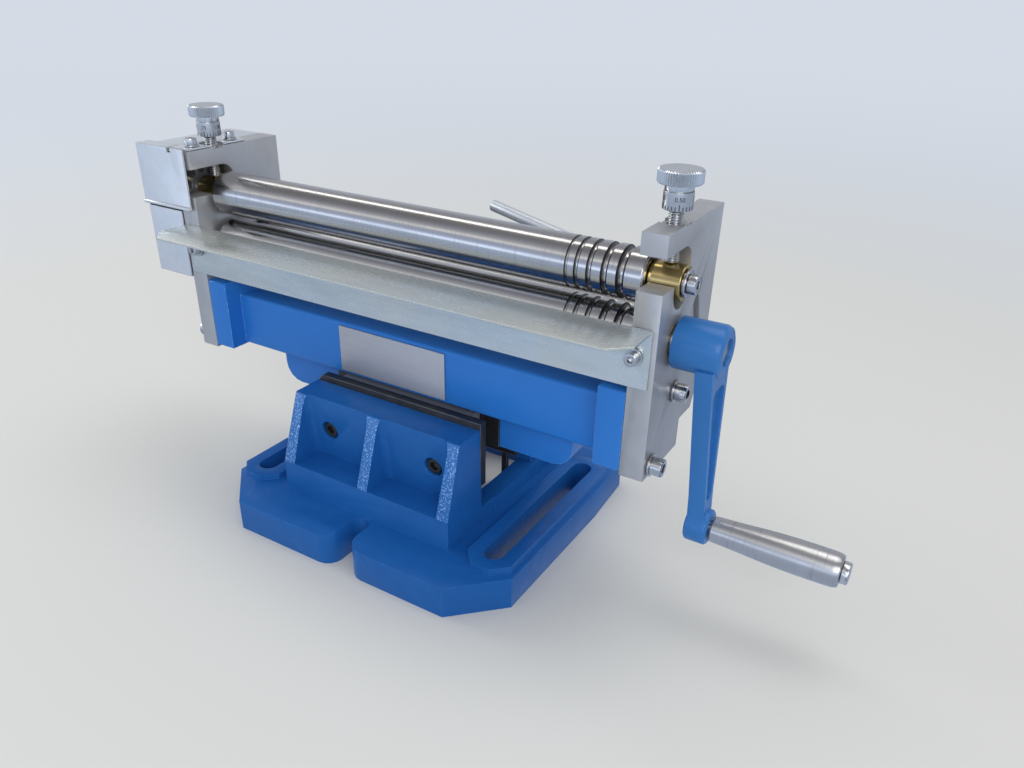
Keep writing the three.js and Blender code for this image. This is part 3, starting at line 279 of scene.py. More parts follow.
def makePaintSkin():
    group, given, out = newGroup("paintSkin", "ShaderNodeTree", [
        ("Colour", "NodeSocketColor", (0.1, 0.2, 0.5, 1)),
        ("Deep Colour", "NodeSocketColor", (0.05, 0.1, 0.3, 1)),
        ("Gloss", "NodeSocketFloat", 0.3),
        ("Peel Scale", "NodeSocketFloat", 420.0),
        ("Cast Scale", "NodeSocketFloat", 90.0),
        ("Cast Share", "NodeSocketFloat", 0.3),
        ("Glints", "NodeSocketFloat", 0.0),
        ("Glint Scale", "NodeSocketFloat", 900.0),
        ("Glint Colour", "NodeSocketColor", (0.30, 0.52, 0.90, 1)),
    ], [("Colour", "NodeSocketColor"), ("Roughness", "NodeSocketFloat"), ("Height", "NodeSocketFloat")])
    where = addNode(group, "ShaderNodeTexCoord").outputs["Object"]
    broad = addNode(group, "ShaderNodeTexNoise", {
        "Vector": where, "Scale": paintNoise["broadScale"], "Detail": 3.0}).outputs[0]
    peel = addNode(group, "ShaderNodeTexNoise", {
        "Vector": where, "Scale": given.outputs["Peel Scale"], "Detail": 2.0}).outputs[0]
    lumps = addNode(group, "ShaderNodeTexNoise", {
        "Vector": where, "Scale": given.outputs["Cast Scale"], "Detail": 4.0}).outputs[0]
    # glints: pale specks mixed into the colour, painted highlights
    glints = addNode(group, "ShaderNodeTexNoise", {
        "Vector": where, "Scale": given.outputs["Glint Scale"], "Detail": 1.0}).outputs[0]
    glintShare = spread(group, glints, *paintNoise["glintSpan"])
    glint = calculate(group, "MULTIPLY", glintShare, given.outputs["Glints"])
    broadShare = spread(group, broad, *paintNoise["broadSpan"])
    lumpShare = spread(group, lumps, *paintNoise["lumpSpan"])
    share = calculate(group, "ADD", broadShare, lumpShare)
    tone = mixColours(group, share, given.outputs["Colour"], given.outputs["Deep Colour"])
    pale = mixColours(group, glint, tone, given.outputs["Glint Colour"])
    group.links.new(pale, out.inputs["Colour"])
    matt = calculate(group, "MULTIPLY_ADD", lumps, paintNoise["lumpMatt"], given.outputs["Gloss"])
    rough = calculate(group, "SUBTRACT", matt, paintNoise["mattShift"])
    group.links.new(rough, out.inputs["Roughness"])
    ripple = calculate(group, "MULTIPLY", peel, paintNoise["peelHeight"])
    height = calculate(group, "MULTIPLY_ADD", lumps, given.outputs["Cast Share"], ripple)
    group.links.new(height, out.inputs["Height"])
    return group


metalNoise = {
    "scratchSpan": (0.64, 0.70),
    "stainSpan": (0.42, 0.68),
    "secondSpan": (0.45, 0.7),
    # how far the second stain's noise is moved aside, in metres, so that the two differ
    "aside": (3.1, 1.7, 5.3),
    "grainColour": (0.16, 0.16, 0.17, 1),
    "scratchColour": (0.10, 0.10, 0.11, 1),
    "grainShare": 0.22,
    "scratchShare": 0.6,
    "cloudMatt": 0.6,
    "grainMatt": 0.4,
    "scratchMatt": 0.2,
    "scratchDepth": 0.8,
}


def makeMetalSkin():
    group, given, out = newGroup("metalSkin", "ShaderNodeTree", [
        ("Colour", "NodeSocketColor", (0.6, 0.6, 0.6, 1)),
        ("Stain Colour", "NodeSocketColor", (0.4, 0.4, 0.4, 1)),
        ("Second Stain", "NodeSocketColor", (0.4, 0.4, 0.4, 1)),
        ("Grain", "NodeSocketVector", (200.0, 200.0, 20.0)),
        ("Scratch", "NodeSocketVector", (900.0, 40.0, 40.0)),
        ("Scratches", "NodeSocketFloat", 0.3),
        ("Stains", "NodeSocketFloat", 0.3),
        ("Stain Scale", "NodeSocketFloat", 30.0),
        ("Gloss", "NodeSocketFloat", 0.3),
        ("Gloss Range", "NodeSocketFloat", 0.15),
    ], [("Colour", "NodeSocketColor"), ("Roughness", "NodeSocketFloat"), ("Height", "NodeSocketFloat")])
    where = addNode(group, "ShaderNodeTexCoord").outputs["Object"]

    def stretched(scaleSocket, detail):
        scaled = addNode(group, "ShaderNodeVectorMath", {0: where, 1: scaleSocket}, operation="MULTIPLY")
        return addNode(group, "ShaderNodeTexNoise", {
            "Vector": scaled.outputs[0], "Scale": 1.0, "Detail": detail}).outputs[0]

    grain = stretched(given.outputs["Grain"], 3.0)
    fine = stretched(given.outputs["Scratch"], 2.0)
    fineShare = spread(group, fine, *metalNoise["scratchSpan"])
    scratch = calculate(group, "MULTIPLY", fineShare, given.outputs["Scratches"])
    cloud = addNode(group, "ShaderNodeTexNoise", {
        "Vector": where, "Scale": given.outputs["Stain Scale"], "Detail": 4.0, "Distortion": 0.6}).outputs[0]
    offset = addNode(group, "ShaderNodeVectorMath", {0: where, 1: metalNoise["aside"]},
                     operation="ADD").outputs[0]
    other = addNode(group, "ShaderNodeTexNoise", {
        "Vector": offset, "Scale": given.outputs["Stain Scale"], "Detail": 3.0, "Distortion": 0.3}).outputs[0]
    stainShare = spread(group, cloud, *metalNoise["stainSpan"])
    stain = calculate(group, "MULTIPLY", stainShare, given.outputs["Stains"])
    secondShare = spread(group, other, *metalNoise["secondSpan"])
    second = calculate(group, "MULTIPLY", secondShare, given.outputs["Stains"])
    tone = mixColours(group, stain, given.outputs["Colour"], given.outputs["Stain Colour"])
    tone = mixColours(group, second, tone, given.outputs["Second Stain"])
    grainShare = calculate(group, "MULTIPLY", grain, metalNoise["grainShare"])
    lined = mixColours(group, grainShare, tone, metalNoise["grainColour"])
    scratchShare = calculate(group, "MULTIPLY", scratch, metalNoise["scratchShare"])
    scored = mixColours(group, scratchShare, lined, metalNoise["scratchColour"])
    group.links.new(scored, out.inputs["Colour"])
    grainMatt = calculate(group, "MULTIPLY", grain, metalNoise["grainMatt"])
    blend = calculate(group, "MULTIPLY_ADD", cloud, metalNoise["cloudMatt"], grainMatt)
    centred = calculate(group, "SUBTRACT", blend, 0.5)
    swing = calculate(group, "MULTIPLY", centred, given.outputs["Gloss Range"])
    unscored = calculate(group, "MULTIPLY_ADD", swing, 2.0, given.outputs["Gloss"])
    scratchMatt = calculate(group, "MULTIPLY", scratch, metalNoise["scratchMatt"])
    rough = calculate(group, "ADD", unscored, scratchMatt)
    group.links.new(rough, out.inputs["Roughness"])
    depth = calculate(group, "MULTIPLY", scratch, metalNoise["scratchDepth"])
    height = calculate(group, "SUBTRACT", grain, depth)
    group.links.new(height, out.inputs["Height"])
    return group


paintSkin = makePaintSkin()
metalSkin = makeMetalSkin()


def newFinish(name, group, values, bump, settings):
    material = bpy.data.materials.new(name)
    material.use_nodes = True
    tree = material.node_tree
    shader = tree.nodes["Principled BSDF"]
    skin = tree.nodes.new("ShaderNodeGroup")
    skin.node_tree = group
    for key, value in values.items():
        skin.inputs[key].default_value = value
    tree.links.new(skin.outputs["Colour"], shader.inputs["Base Color"])
    tree.links.new(skin.outputs["Roughness"], shader.inputs["Roughness"])
    strength, distance = bump
    relief = addNode(tree, "ShaderNodeBump", {
        "Height": skin.outputs["Height"], "Strength": strength, "Distance": distance})
    tree.links.new(relief.outputs[0], shader.inputs["Normal"])
    for key, value in settings.items():
        shader.inputs[key].default_value = value
    return material


def paintFinish(name, colour, deep, gloss, peelScale, castScale, castShare, bump,
                glints=0.0, coat=0.10, level=0.25):
    return newFinish(name, paintSkin, {
        "Colour": (*colour, 1), "Deep Colour": (*deep, 1), "Gloss": gloss, "Peel Scale": peelScale,
        "Cast Scale": castScale, "Cast Share": castShare, "Glints": glints,
    }, bump, {"Coat Weight": coat, "Coat Roughness": 0.15, "Specular IOR Level": level})


def metalFinish(name, colour, stain, second, grain, scratch, scratches, stains, stainScale, gloss, glossRange,
                bump, metallic=1.0, anisotropic=0.0):
    return newFinish(name, metalSkin, {
        "Colour": (*colour, 1), "Stain Colour": (*stain, 1), "Second Stain": (*second, 1),
        "Grain": grain, "Scratch": scratch, "Scratches": scratches, "Stains": stains,
        "Stain Scale": stainScale, "Gloss": gloss, "Gloss Range": glossRange,
    }, bump, {"Metallic": metallic, "Anisotropic": anisotropic})


# Paints: bump is its strength and its depth in metres, the scales count lumps over a metre
paints = {
    "machineBlue": {
        "colour": (0.026, 0.190, 0.630), "deep": (0.021, 0.168, 0.560), "gloss": 0.30, "peelScale": 420.0,
        "castScale": 60.0, "castShare": 0.25, "bump": (0.16, 0.0006),
    },
    "castBlue": {
        "colour": (0.014, 0.122, 0.410), "deep": (0.009, 0.096, 0.345), "gloss": 0.32, "peelScale": 380.0,
        "castScale": 110.0, "castShare": 0.5, "bump": (0.30, 0.0009), "coat": 0.0, "level": 0.18,
    },
    "armBlue": {
        "colour": (0.032, 0.170, 0.480), "deep": (0.024, 0.145, 0.415), "gloss": 0.30, "peelScale": 420.0,
        "castScale": 90.0, "castShare": 0.4, "bump": (0.25, 0.0008),
    },
    # rough cast blue of the rib fronts; its glints are painted highlights
    "roughBlue": {
        "colour": (0.030, 0.190, 0.580), "deep": (0.016, 0.130, 0.440), "gloss": 0.26, "peelScale": 900.0,
        "castScale": 700.0, "castShare": 1.6, "bump": (0.9, 0.0010), "glints": 0.8, "coat": 0.4,
    },
    # paler blue on the castings' eased edges: partly paint worn thin, partly a painted highlight, with
    # painted glints
    "blueEdgeWearAndHighlight": {
        "colour": (0.075, 0.290, 0.740), "deep": (0.040, 0.215, 0.600), "gloss": 0.22, "peelScale": 600.0,
        "castScale": 200.0, "castShare": 0.5, "bump": (0.30, 0.0008), "glints": 1.0, "coat": 0.4,
    },
}


def evenly(scale):
    return scale, scale, scale


# Metals: grain and scratch are scales along x, y and z; a high one draws fine lines square to its axis
around = (3000.0, 40.0, 40.0)       # turning marks round an axis along x
aroundUpright = (40.0, 40.0, 3000.0)
metals = {
    "groundSteel": {
        "colour": (0.54, 0.54, 0.545), "stain": (0.44, 0.44, 0.445), "second": (0.58, 0.585, 0.595),
        "grain": (60.0, 1500.0, 70.0), "scratch": (90.0, 900.0, 60.0), "scratches": 0.12, "stains": 0.5,
        "stainScale": 26.0, "gloss": 0.40, "glossRange": 0.12, "bump": (0.12, 0.0002), "metallic": 0.65,
    },
    "steelEdge": {
        "colour": (0.62, 0.62, 0.62), "stain": (0.46, 0.45, 0.44), "second": (0.60, 0.60, 0.60),
        "grain": evenly(300.0), "scratch": (700.0, 200.0, 200.0), "scratches": 0.6, "stains": 0.6,
        "stainScale": 60.0, "gloss": 0.32, "glossRange": 0.2, "bump": (0.3, 0.0003), "metallic": 0.9,
    },
    "rollSteel": {
        "colour": (0.60, 0.585, 0.57), "stain": (0.46, 0.445, 0.43), "second": (0.66, 0.655, 0.65),
        "grain": around, "scratch": (1500.0, 25.0, 25.0), "scratches": 0.35, "stains": 0.35,
        "stainScale": 24.0, "gloss": 0.19, "glossRange": 0.14, "bump": (0.10, 0.00015),
        "anisotropic": 0.35,
    },
    # a darker copy of the roll steel: painted shade for the rear roll, which lies in shadow under and behind
    # the other rolls
    "shadedRollSteel": {
        "colour": (0.36, 0.35, 0.34), "stain": (0.26, 0.25, 0.24), "second": (0.42, 0.41, 0.40),
        "grain": around, "scratch": (1500.0, 25.0, 25.0), "scratches": 0.35, "stains": 0.5,
        "stainScale": 24.0, "gloss": 0.22, "glossRange": 0.14, "bump": (0.10, 0.00015),
        "anisotropic": 0.35,
    },
    # the grooves' steel, painted darker: painted shade inside the wire grooves
    "grooveShadeSteel": {
        "colour": (0.13, 0.12, 0.115), "stain": (0.08, 0.075, 0.07), "second": (0.18, 0.17, 0.165),
        "grain": around, "scratch": (1500.0, 25.0, 25.0), "scratches": 0.3, "stains": 0.6,
        "stainScale": 90.0, "gloss": 0.34, "glossRange": 0.15, "bump": (0.12, 0.0002),
    },
    "handleSteel": {
        "colour": (0.57, 0.565, 0.56), "stain": (0.48, 0.47, 0.46), "second": (0.63, 0.625, 0.62),
        "grain": around, "scratch": (1200.0, 40.0, 40.0), "scratches": 0.5, "stains": 0.4,
        "stainScale": 50.0, "gloss": 0.30, "glossRange": 0.14, "bump": (0.15, 0.0002), "metallic": 0.95,
        "anisotropic": 0.3,
    },
    "zincSheet": {
        "colour": (0.70, 0.765, 0.785), "stain": (0.57, 0.66, 0.68), "second": (0.75, 0.745, 0.66),
        "grain": (50.0, 240.0, 240.0), "scratch": (30.0, 900.0, 900.0), "scratches": 0.08, "stains": 0.75,
        "stainScale": 12.0, "gloss": 0.27, "glossRange": 0.12, "bump": (0.025, 0.0002), "metallic": 0.75,
    },
    "zincEdge": {
        "colour": (0.78, 0.75, 0.60), "stain": (0.70, 0.66, 0.46), "second": (0.80, 0.78, 0.70),
        "grain": evenly(300.0), "scratch": evenly(300.0), "scratches": 0.2, "stains": 0.5,
        "stainScale": 60.0, "gloss": 0.25, "glossRange": 0.1, "bump": (0.1, 0.0002), "metallic": 0.8,
    },
    "coverZinc": {
        "colour": (0.76, 0.80, 0.845), "stain": (0.68, 0.73, 0.79), "second": (0.77, 0.79, 0.79),
        "grain": evenly(150.0), "scratch": evenly(400.0), "scratches": 0.03,
        "stains": 0.5, "stainScale": 18.0, "gloss": 0.36, "glossRange": 0.10, "bump": (0.03, 0.0002),
        "metallic": 0.6,
    },
    "screwZinc": {
        "colour": (0.62, 0.62, 0.615), "stain": (0.50, 0.50, 0.49), "second": (0.66, 0.65, 0.60),
        "grain": evenly(300.0), "scratch": (900.0, 300.0, 300.0), "scratches": 0.3, "stains": 0.5,
        "stainScale": 160.0, "gloss": 0.22, "glossRange": 0.14, "bump": (0.1, 0.0001),
    },
    "knobNickel": {
        "colour": (0.72, 0.725, 0.72), "stain": (0.62, 0.625, 0.62), "second": (0.74, 0.73, 0.69),
        "grain": evenly(400.0), "scratch": (900.0, 200.0, 200.0), "scratches": 0.35,
        "stains": 0.5, "stainScale": 120.0, "gloss": 0.24, "glossRange": 0.14, "bump": (0.08, 0.0001),
    },
    # darker nickel for the knurl valleys: painted shade
    "knurlValleyShade": {
        "colour": (0.26, 0.26, 0.26), "stain": (0.18, 0.18, 0.18), "second": (0.34, 0.335, 0.33),
        "grain": evenly(400.0), "scratch": (900.0, 200.0, 200.0), "scratches": 0.2, "stains": 0.5,
        "stainScale": 120.0, "gloss": 0.34, "glossRange": 0.14, "bump": (0.08, 0.0001),
    },
    "dialZinc": {
        "colour": (0.53, 0.54, 0.55), "stain": (0.46, 0.47, 0.48), "second": (0.57, 0.57, 0.565),
        "grain": aroundUpright, "scratch": (40.0, 40.0, 1500.0), "scratches": 0.25, "stains": 0.4,
        "stainScale": 140.0, "gloss": 0.33, "glossRange": 0.12, "bump": (0.1, 0.0001), "metallic": 0.9,
    },
    "blackSteel": {
        "colour": (0.022, 0.022, 0.024), "stain": (0.045, 0.044, 0.043), "second": (0.015, 0.015, 0.017),
        "grain": evenly(200.0), "scratch": (600.0, 80.0, 80.0), "scratches": 0.3, "stains": 0.6,
        "stainScale": 60.0, "gloss": 0.42, "glossRange": 0.15, "bump": (0.15, 0.0002), "metallic": 0.6,
    },
    "blackEdge": {
        "colour": (0.13, 0.13, 0.13), "stain": (0.05, 0.05, 0.05), "second": (0.20, 0.195, 0.19),
        "grain": evenly(400.0), "scratch": (600.0, 200.0, 200.0), "scratches": 0.3, "stains": 0.9,
        "stainScale": 90.0, "gloss": 0.35, "glossRange": 0.15, "bump": (0.15, 0.0002), "metallic": 0.8,
    },
    "bushBrass": {
        "colour": (0.56, 0.41, 0.15), "stain": (0.44, 0.31, 0.11), "second": (0.62, 0.47, 0.20),
        "grain": around, "scratch": (1500.0, 60.0, 60.0), "scratches": 0.35, "stains": 0.4,
        "stainScale": 110.0, "gloss": 0.20, "glossRange": 0.12, "bump": (0.1, 0.0001),
    },
    "bareSilver": {
        "colour": (0.56, 0.56, 0.575), "stain": (0.50, 0.50, 0.52), "second": (0.58, 0.58, 0.59),
        "grain": (30.0, 1500.0, 1500.0), "scratch": evenly(400.0), "scratches": 0.12,
        "stains": 0.4, "stainScale": 70.0, "gloss": 0.42, "glossRange": 0.10, "bump": (0.08, 0.0001),
        "metallic": 0.7,
    },
    "springWire": {
        "colour": (0.30, 0.30, 0.305), "stain": (0.22, 0.22, 0.22), "second": (0.36, 0.35, 0.34),
        "grain": evenly(500.0), "scratch": (900.0, 300.0, 300.0), "scratches": 0.2, "stains": 0.4,
        "stainScale": 120.0, "gloss": 0.30, "glossRange": 0.12, "bump": (0.1, 0.0001),
    },
    "dialInk": {
        "colour": (0.012, 0.012, 0.014), "stain": (0.02, 0.02, 0.02), "second": (0.01, 0.01, 0.01),
        "grain": evenly(500.0), "scratch": evenly(500.0), "scratches": 0.1, "stains": 0.3,
        "stainScale": 200.0, "gloss": 0.5, "glossRange": 0.1, "bump": (0.1, 0.0001), "metallic": 0.0,
    },
}

finishes = {name: paintFinish(name, **look) for name, look in paints.items()}
finishes.update({name: metalFinish(name, **look) for name, look in metals.items()})
print("finishes made")


# Making pieces

def newPiece(name, mesh, body, materials, standsFor=(), sharpAngle=None):
    piece = bpy.data.objects.new(name, mesh)
    bpy.context.scene.collection.objects.link(piece)
    if materials:
        mesh.materials.clear()
        for key in materials:
            mesh.materials.append(finishes[key])
    if sharpAngle is not None:
        mesh.shade_smooth()
        mesh.set_sharp_from_angle(angle=math.radians(sharpAngle))
    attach(piece, body)
    if standsFor:
        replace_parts(piece, *standsFor)
    return piece


# A merged copy of a frame solid, with the edges inside its flat faces taken away
def cleanCopy(node, mergeWithin=2e-6, flatWithin=math.radians(0.8)):
    made = bmesh.new()
    made.from_mesh(nodes[node].data)
    bmesh.ops.remove_doubles(made, verts=made.verts, dist=mergeWithin)
    bmesh.ops.dissolve_limit(made, angle_limit=flatWithin, verts=made.verts, edges=made.edges)
    bmesh.ops.recalc_face_normals(made, faces=made.faces)
    mesh = bpy.data.meshes.new(node)
    made.to_mesh(mesh)
    made.free()
    return mesh


# The same solid with its edges eased, by a width in mm; the eased edges may have a finish of their own
def dressed(node, width, finish, edge=None, angle=32):
    materials = [finish, edge] if edge else [finish]
    piece = newPiece(f"{node}_dressed", cleanCopy(node), bodyOf[node], materials, [node])
    piece.data.shade_smooth()
    bevel = piece.modifiers.new("edges", "BEVEL")
    bevel.width = width * mm
    bevel.segments = 3
    bevel.limit_method = "ANGLE"
    bevel.angle_limit = math.radians(angle)
    bevel.harden_normals = True
    if edge:
        bevel.material = 1
    return piece


# A ring round z; a six-sided one has its flats at the radius
def ringPoints(radius, along, steps, hexagon=False):
    points = []
    for k in range(steps):
        angle = fullTurn * k / steps
        away = radius
        if hexagon:
            away = radius / math.cos(angle % (math.pi / 3) - math.pi / 6)
        points.append((away * math.cos(angle), away * math.sin(angle), along))
    return points


def lofted(rings, closed=False):
    made = bmesh.new()
    loops = [[made.verts.new(point) for point in ring] for ring in rings]
    pairs = list(zip(loops, loops[1:]))
    if closed:
        pairs.append((loops[-1], loops[0]))
    for low, high in pairs:
        count = len(low)
        for k in range(count):
            made.faces.new((low[k], low[(k + 1) % count], high[(k + 1) % count], high[k]))
    if not closed:
        made.faces.new(list(reversed(loops[0])))
        made.faces.new(loops[-1])
    bmesh.ops.recalc_face_normals(made, faces=made.faces)
    return made


# A profile of (along, radius, easing) points in mm; a point with an easing becomes a small arc
def eased(profile, closed=False):
    made = []
    arcSteps = 4
    last = len(profile) - 1
    for i, (along, radius, *rest) in enumerate(profile):
        easing = rest[0] if rest else 0
        if not easing or (not closed and i in (0, last)):
            made.append((along, radius))
            continue
        here = Vector((along, radius))
        before = Vector(profile[i - 1][:2]) - here
        after = Vector(profile[(i + 1) % len(profile)][:2]) - here
        cut = min(easing, before.length * 0.48, after.length * 0.48)
        start = here + before.normalized() * cut
        end = here + after.normalized() * cut
        for k in range(arcSteps + 1):
            t = k / arcSteps
            point = start * (1 - t) ** 2 + here * 2 * t * (1 - t) + end * t ** 2
            made.append((point.x, point.y))
    return made


# How rings made round z come to lie round x or z
layings = {"X": Matrix.Rotation(math.radians(90), 4, "Y"), "Z": Matrix.Identity(4)}


# A turned piece: the profile runs along the given axis and starts at the given place, both in mm
def turnedPiece(name, profile, axis, place, body, materials, standsFor, closed=False, steps=96):
    rings = [ringPoints(radius * mm, along * mm, steps) for along, radius in eased(profile, closed)]
    made = lofted(rings, closed)
    made.transform(Matrix.Translation(Vector(place) * mm) @ layings[axis])
    mesh = bpy.data.meshes.new(name)
    made.to_mesh(mesh)
    made.free()
    return newPiece(name, mesh, body, materials, standsFor, sharpAngle=34)


# The middle of a node's box, and its two ends along one axis, in mm
def middle(node):
    low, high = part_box(node)
    return (low + high) / 2 / mm


def reach(node, axis):
    low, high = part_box(node)
    return low[axis] / mm, high[axis] / mm


# Geometry Nodes: a threaded or knurled rod, pieces set out on points, the marks of a dial, and a coil

def endTree(group, geometry, finish, out):
    real = addNode(group, "GeometryNodeRealizeInstances", {"Geometry": geometry}).outputs[0]
    finished = addNode(group, "GeometryNodeSetMaterial", {"Geometry": real, "Material": finish}).outputs[0]
    group.links.new(finished, out.inputs["Geometry"])


def makeRippledRod():
    group, given, out = newGroup("rippledRod", "GeometryNodeTree", [
        ("Geometry", "NodeSocketGeometry", None),
        ("Radius", "NodeSocketFloat", 0.004),
        ("Length", "NodeSocketFloat", 0.02),
        ("Sides", "NodeSocketInt", 64),
        ("Rings", "NodeSocketInt", 64),
        ("Thread Pitch", "NodeSocketFloat", 0.00125),
        ("Thread Depth", "NodeSocketFloat", 0.0),
        ("Knurls", "NodeSocketFloat", 60.0),
        ("Knurl Depth", "NodeSocketFloat", 0.0),
        ("Edge", "NodeSocketFloat", 0.0005),
        ("Finish", "NodeSocketMaterial", None),
    ], [("Geometry", "NodeSocketGeometry")])
    ask = given.outputs
    barrel = addNode(group, "GeometryNodeMeshCylinder", {
        "Vertices": ask["Sides"], "Side Segments": ask["Rings"],
        "Radius": ask["Radius"], "Depth": ask["Length"],
    }, fill_type="TRIANGLE_FAN")
    place = addNode(group, "GeometryNodeInputPosition").outputs[0]
    parts = addNode(group, "ShaderNodeSeparateXYZ", {0: place}).outputs
    outward = addNode(group, "ShaderNodeCombineXYZ", {0: parts[0], 1: parts[1]}).outputs[0]
    distance = addNode(group, "ShaderNodeVectorMath", {0: outward}, operation="LENGTH").outputs["Value"]
    turn = calculate(group, "DIVIDE", calculate(group, "ARCTAN2", parts[1], parts[0]), fullTurn)
    phase = calculate(group, "SUBTRACT", calculate(group, "DIVIDE", parts[2], ask["Thread Pitch"]), turn)
    groove = calculate(group, "MULTIPLY", calculate(group, "PINGPONG", phase, 0.5), 2.0)
    knurlPhase = calculate(group, "MULTIPLY", turn, ask["Knurls"])
    knurl = calculate(group, "MULTIPLY", calculate(group, "PINGPONG", knurlPhase, 0.5), 2.0)
    knurlCut = calculate(group, "MULTIPLY", knurl, ask["Knurl Depth"])
    sunk = calculate(group, "MULTIPLY_ADD", groove, ask["Thread Depth"], knurlCut)
    half = calculate(group, "MULTIPLY", ask["Length"], 0.5)
    fromEnd = calculate(group, "SUBTRACT", half, calculate(group, "ABSOLUTE", parts[2]))
    edge = calculate(group, "MAXIMUM", calculate(group, "SUBTRACT", ask["Edge"], fromEnd), 0.0)
    wanted = calculate(group, "SUBTRACT", ask["Radius"], calculate(group, "MAXIMUM", sunk, edge))
    share = calculate(group, "DIVIDE", wanted, calculate(group, "MAXIMUM", distance, 0.00001))
    # the middle points of the two end caps stay where they are
    isOuter = calculate(group, "GREATER_THAN", distance, calculate(group, "MULTIPLY", ask["Radius"], 0.5))
    isMiddle = calculate(group, "SUBTRACT", 1.0, isOuter)
    scale = calculate(group, "ADD", calculate(group, "MULTIPLY", share, isOuter), isMiddle)
    rippled = addNode(group, "ShaderNodeCombineXYZ", {
        0: calculate(group, "MULTIPLY", parts[0], scale), 1: calculate(group, "MULTIPLY", parts[1], scale),
        2: parts[2]}).outputs[0]
    shaped = addNode(group, "GeometryNodeSetPosition", {
        "Geometry": barrel.outputs["Mesh"], "Position": rippled}).outputs[0]
    endTree(group, shaped, ask["Finish"], out)
    return group


def makeSetOut():
    group, given, out = newGroup("setOutOnPoints", "GeometryNodeTree", [
        ("Geometry", "NodeSocketGeometry", None),
        ("Part", "NodeSocketObject", None),
        ("Spin Seed", "NodeSocketInt", 4),
        ("Spin", "NodeSocketFloat", math.pi),
        ("Finish", "NodeSocketMaterial", None),
    ], [("Geometry", "NodeSocketGeometry")])
    ask = given.outputs
    part = addNode(group, "GeometryNodeObjectInfo", {"Object": ask["Part"]}).outputs["Geometry"]
    facing = addNode(group, "GeometryNodeInputNamedAttribute", {"Name": "facing"},
                     data_type="FLOAT_VECTOR").outputs[0]
    aimed = addNode(group, "FunctionNodeAlignRotationToVector", {"Vector": facing}, axis="Z").outputs[0]
    spin = addNode(group, "FunctionNodeRandomValue", {"Seed": ask["Spin Seed"]}, data_type="FLOAT")
    greatest = next(socket for socket in spin.inputs if socket.name == "Max" and socket.type == "VALUE")
    group.links.new(ask["Spin"], greatest)
    angle = next(socket for socket in spin.outputs if socket.type == "VALUE")
    spun = addNode(group, "FunctionNodeAxisAngleToRotation", {"Axis": (0, 0, 1), "Angle": angle}).outputs[0]
    turnedOn = addNode(group, "FunctionNodeRotateRotation", {
        "Rotation": aimed, "Rotate By": spun}, rotation_space="LOCAL").outputs[0]
    copies = addNode(group, "GeometryNodeInstanceOnPoints", {
        "Points": ask["Geometry"], "Instance": part, "Rotation": turnedOn}).outputs[0]
    endTree(group, copies, ask["Finish"], out)
    return group


def makeDialMarks():
    group, given, out = newGroup("dialMarks", "GeometryNodeTree", [
        ("Geometry", "NodeSocketGeometry", None),
        ("Radius", "NodeSocketFloat", 0.00725),
        ("Marks", "NodeSocketInt", 25),
        ("Long Every", "NodeSocketInt", 5),
        ("Width", "NodeSocketFloat", 0.00042),
        ("Short", "NodeSocketFloat", 0.0020),
        ("Long", "NodeSocketFloat", 0.0031),
        ("Thick", "NodeSocketFloat", 0.00008),
        ("Finish", "NodeSocketMaterial", None),
    ], [("Geometry", "NodeSocketGeometry")])
    ask = given.outputs
    circle = addNode(group, "GeometryNodeMeshCircle", {
        "Vertices": ask["Marks"], "Radius": ask["Radius"]}).outputs[0]
    place = addNode(group, "GeometryNodeInputPosition").outputs[0]
    aimed = addNode(group, "FunctionNodeAlignRotationToVector", {"Vector": place}, axis="X").outputs[0]
    number = addNode(group, "GeometryNodeInputIndex").outputs[0]
    rest = calculate(group, "MODULO", number, ask["Long Every"])
    isLong = calculate(group, "LESS_THAN", rest, 0.5)
    longer = calculate(group, "SUBTRACT", ask["Long"], ask["Short"])
    height = calculate(group, "MULTIPLY_ADD", isLong, longer, ask["Short"])
    size = addNode(group, "ShaderNodeCombineXYZ", {0: ask["Thick"], 1: ask["Width"], 2: height}).outputs[0]
    unit = addNode(group, "GeometryNodeMeshCube", {"Size": (1, 1, 1)}).outputs[0]
    raised = addNode(group, "GeometryNodeTransform", {
        "Geometry": unit, "Translation": (0, 0, 0.5)}).outputs[0]
    copies = addNode(group, "GeometryNodeInstanceOnPoints", {
        "Points": circle, "Instance": raised, "Rotation": aimed, "Scale": size}).outputs[0]
    endTree(group, copies, ask["Finish"], out)
    return group


def makeCoil():
    group, given, out = newGroup("coil", "GeometryNodeTree", [
        ("Geometry", "NodeSocketGeometry", None),
        ("Turns", "NodeSocketFloat", 5.0),
        ("Radius", "NodeSocketFloat", 0.003),
        ("Height", "NodeSocketFloat", 0.01),
        ("Wire", "NodeSocketFloat", 0.0004),
        ("Finish", "NodeSocketMaterial", None),
    ], [("Geometry", "NodeSocketGeometry")])
    ask = given.outputs
    path = addNode(group, "GeometryNodeCurveSpiral", {
        "Resolution": 32, "Rotations": ask["Turns"], "Start Radius": ask["Radius"],
        "End Radius": ask["Radius"], "Height": ask["Height"]}).outputs[0]
    section = addNode(group, "GeometryNodeCurvePrimitiveCircle", {
        "Resolution": 12, "Radius": ask["Wire"]}).outputs[0]
    tube = addNode(group, "GeometryNodeCurveToMesh", {
        "Curve": path, "Profile Curve": section, "Fill Caps": True}).outputs[0]
    endTree(group, tube, ask["Finish"], out)
    return group


rippledRod = makeRippledRod()
setOut = makeSetOut()
dialMarks = makeDialMarks()
coil = makeCoil()


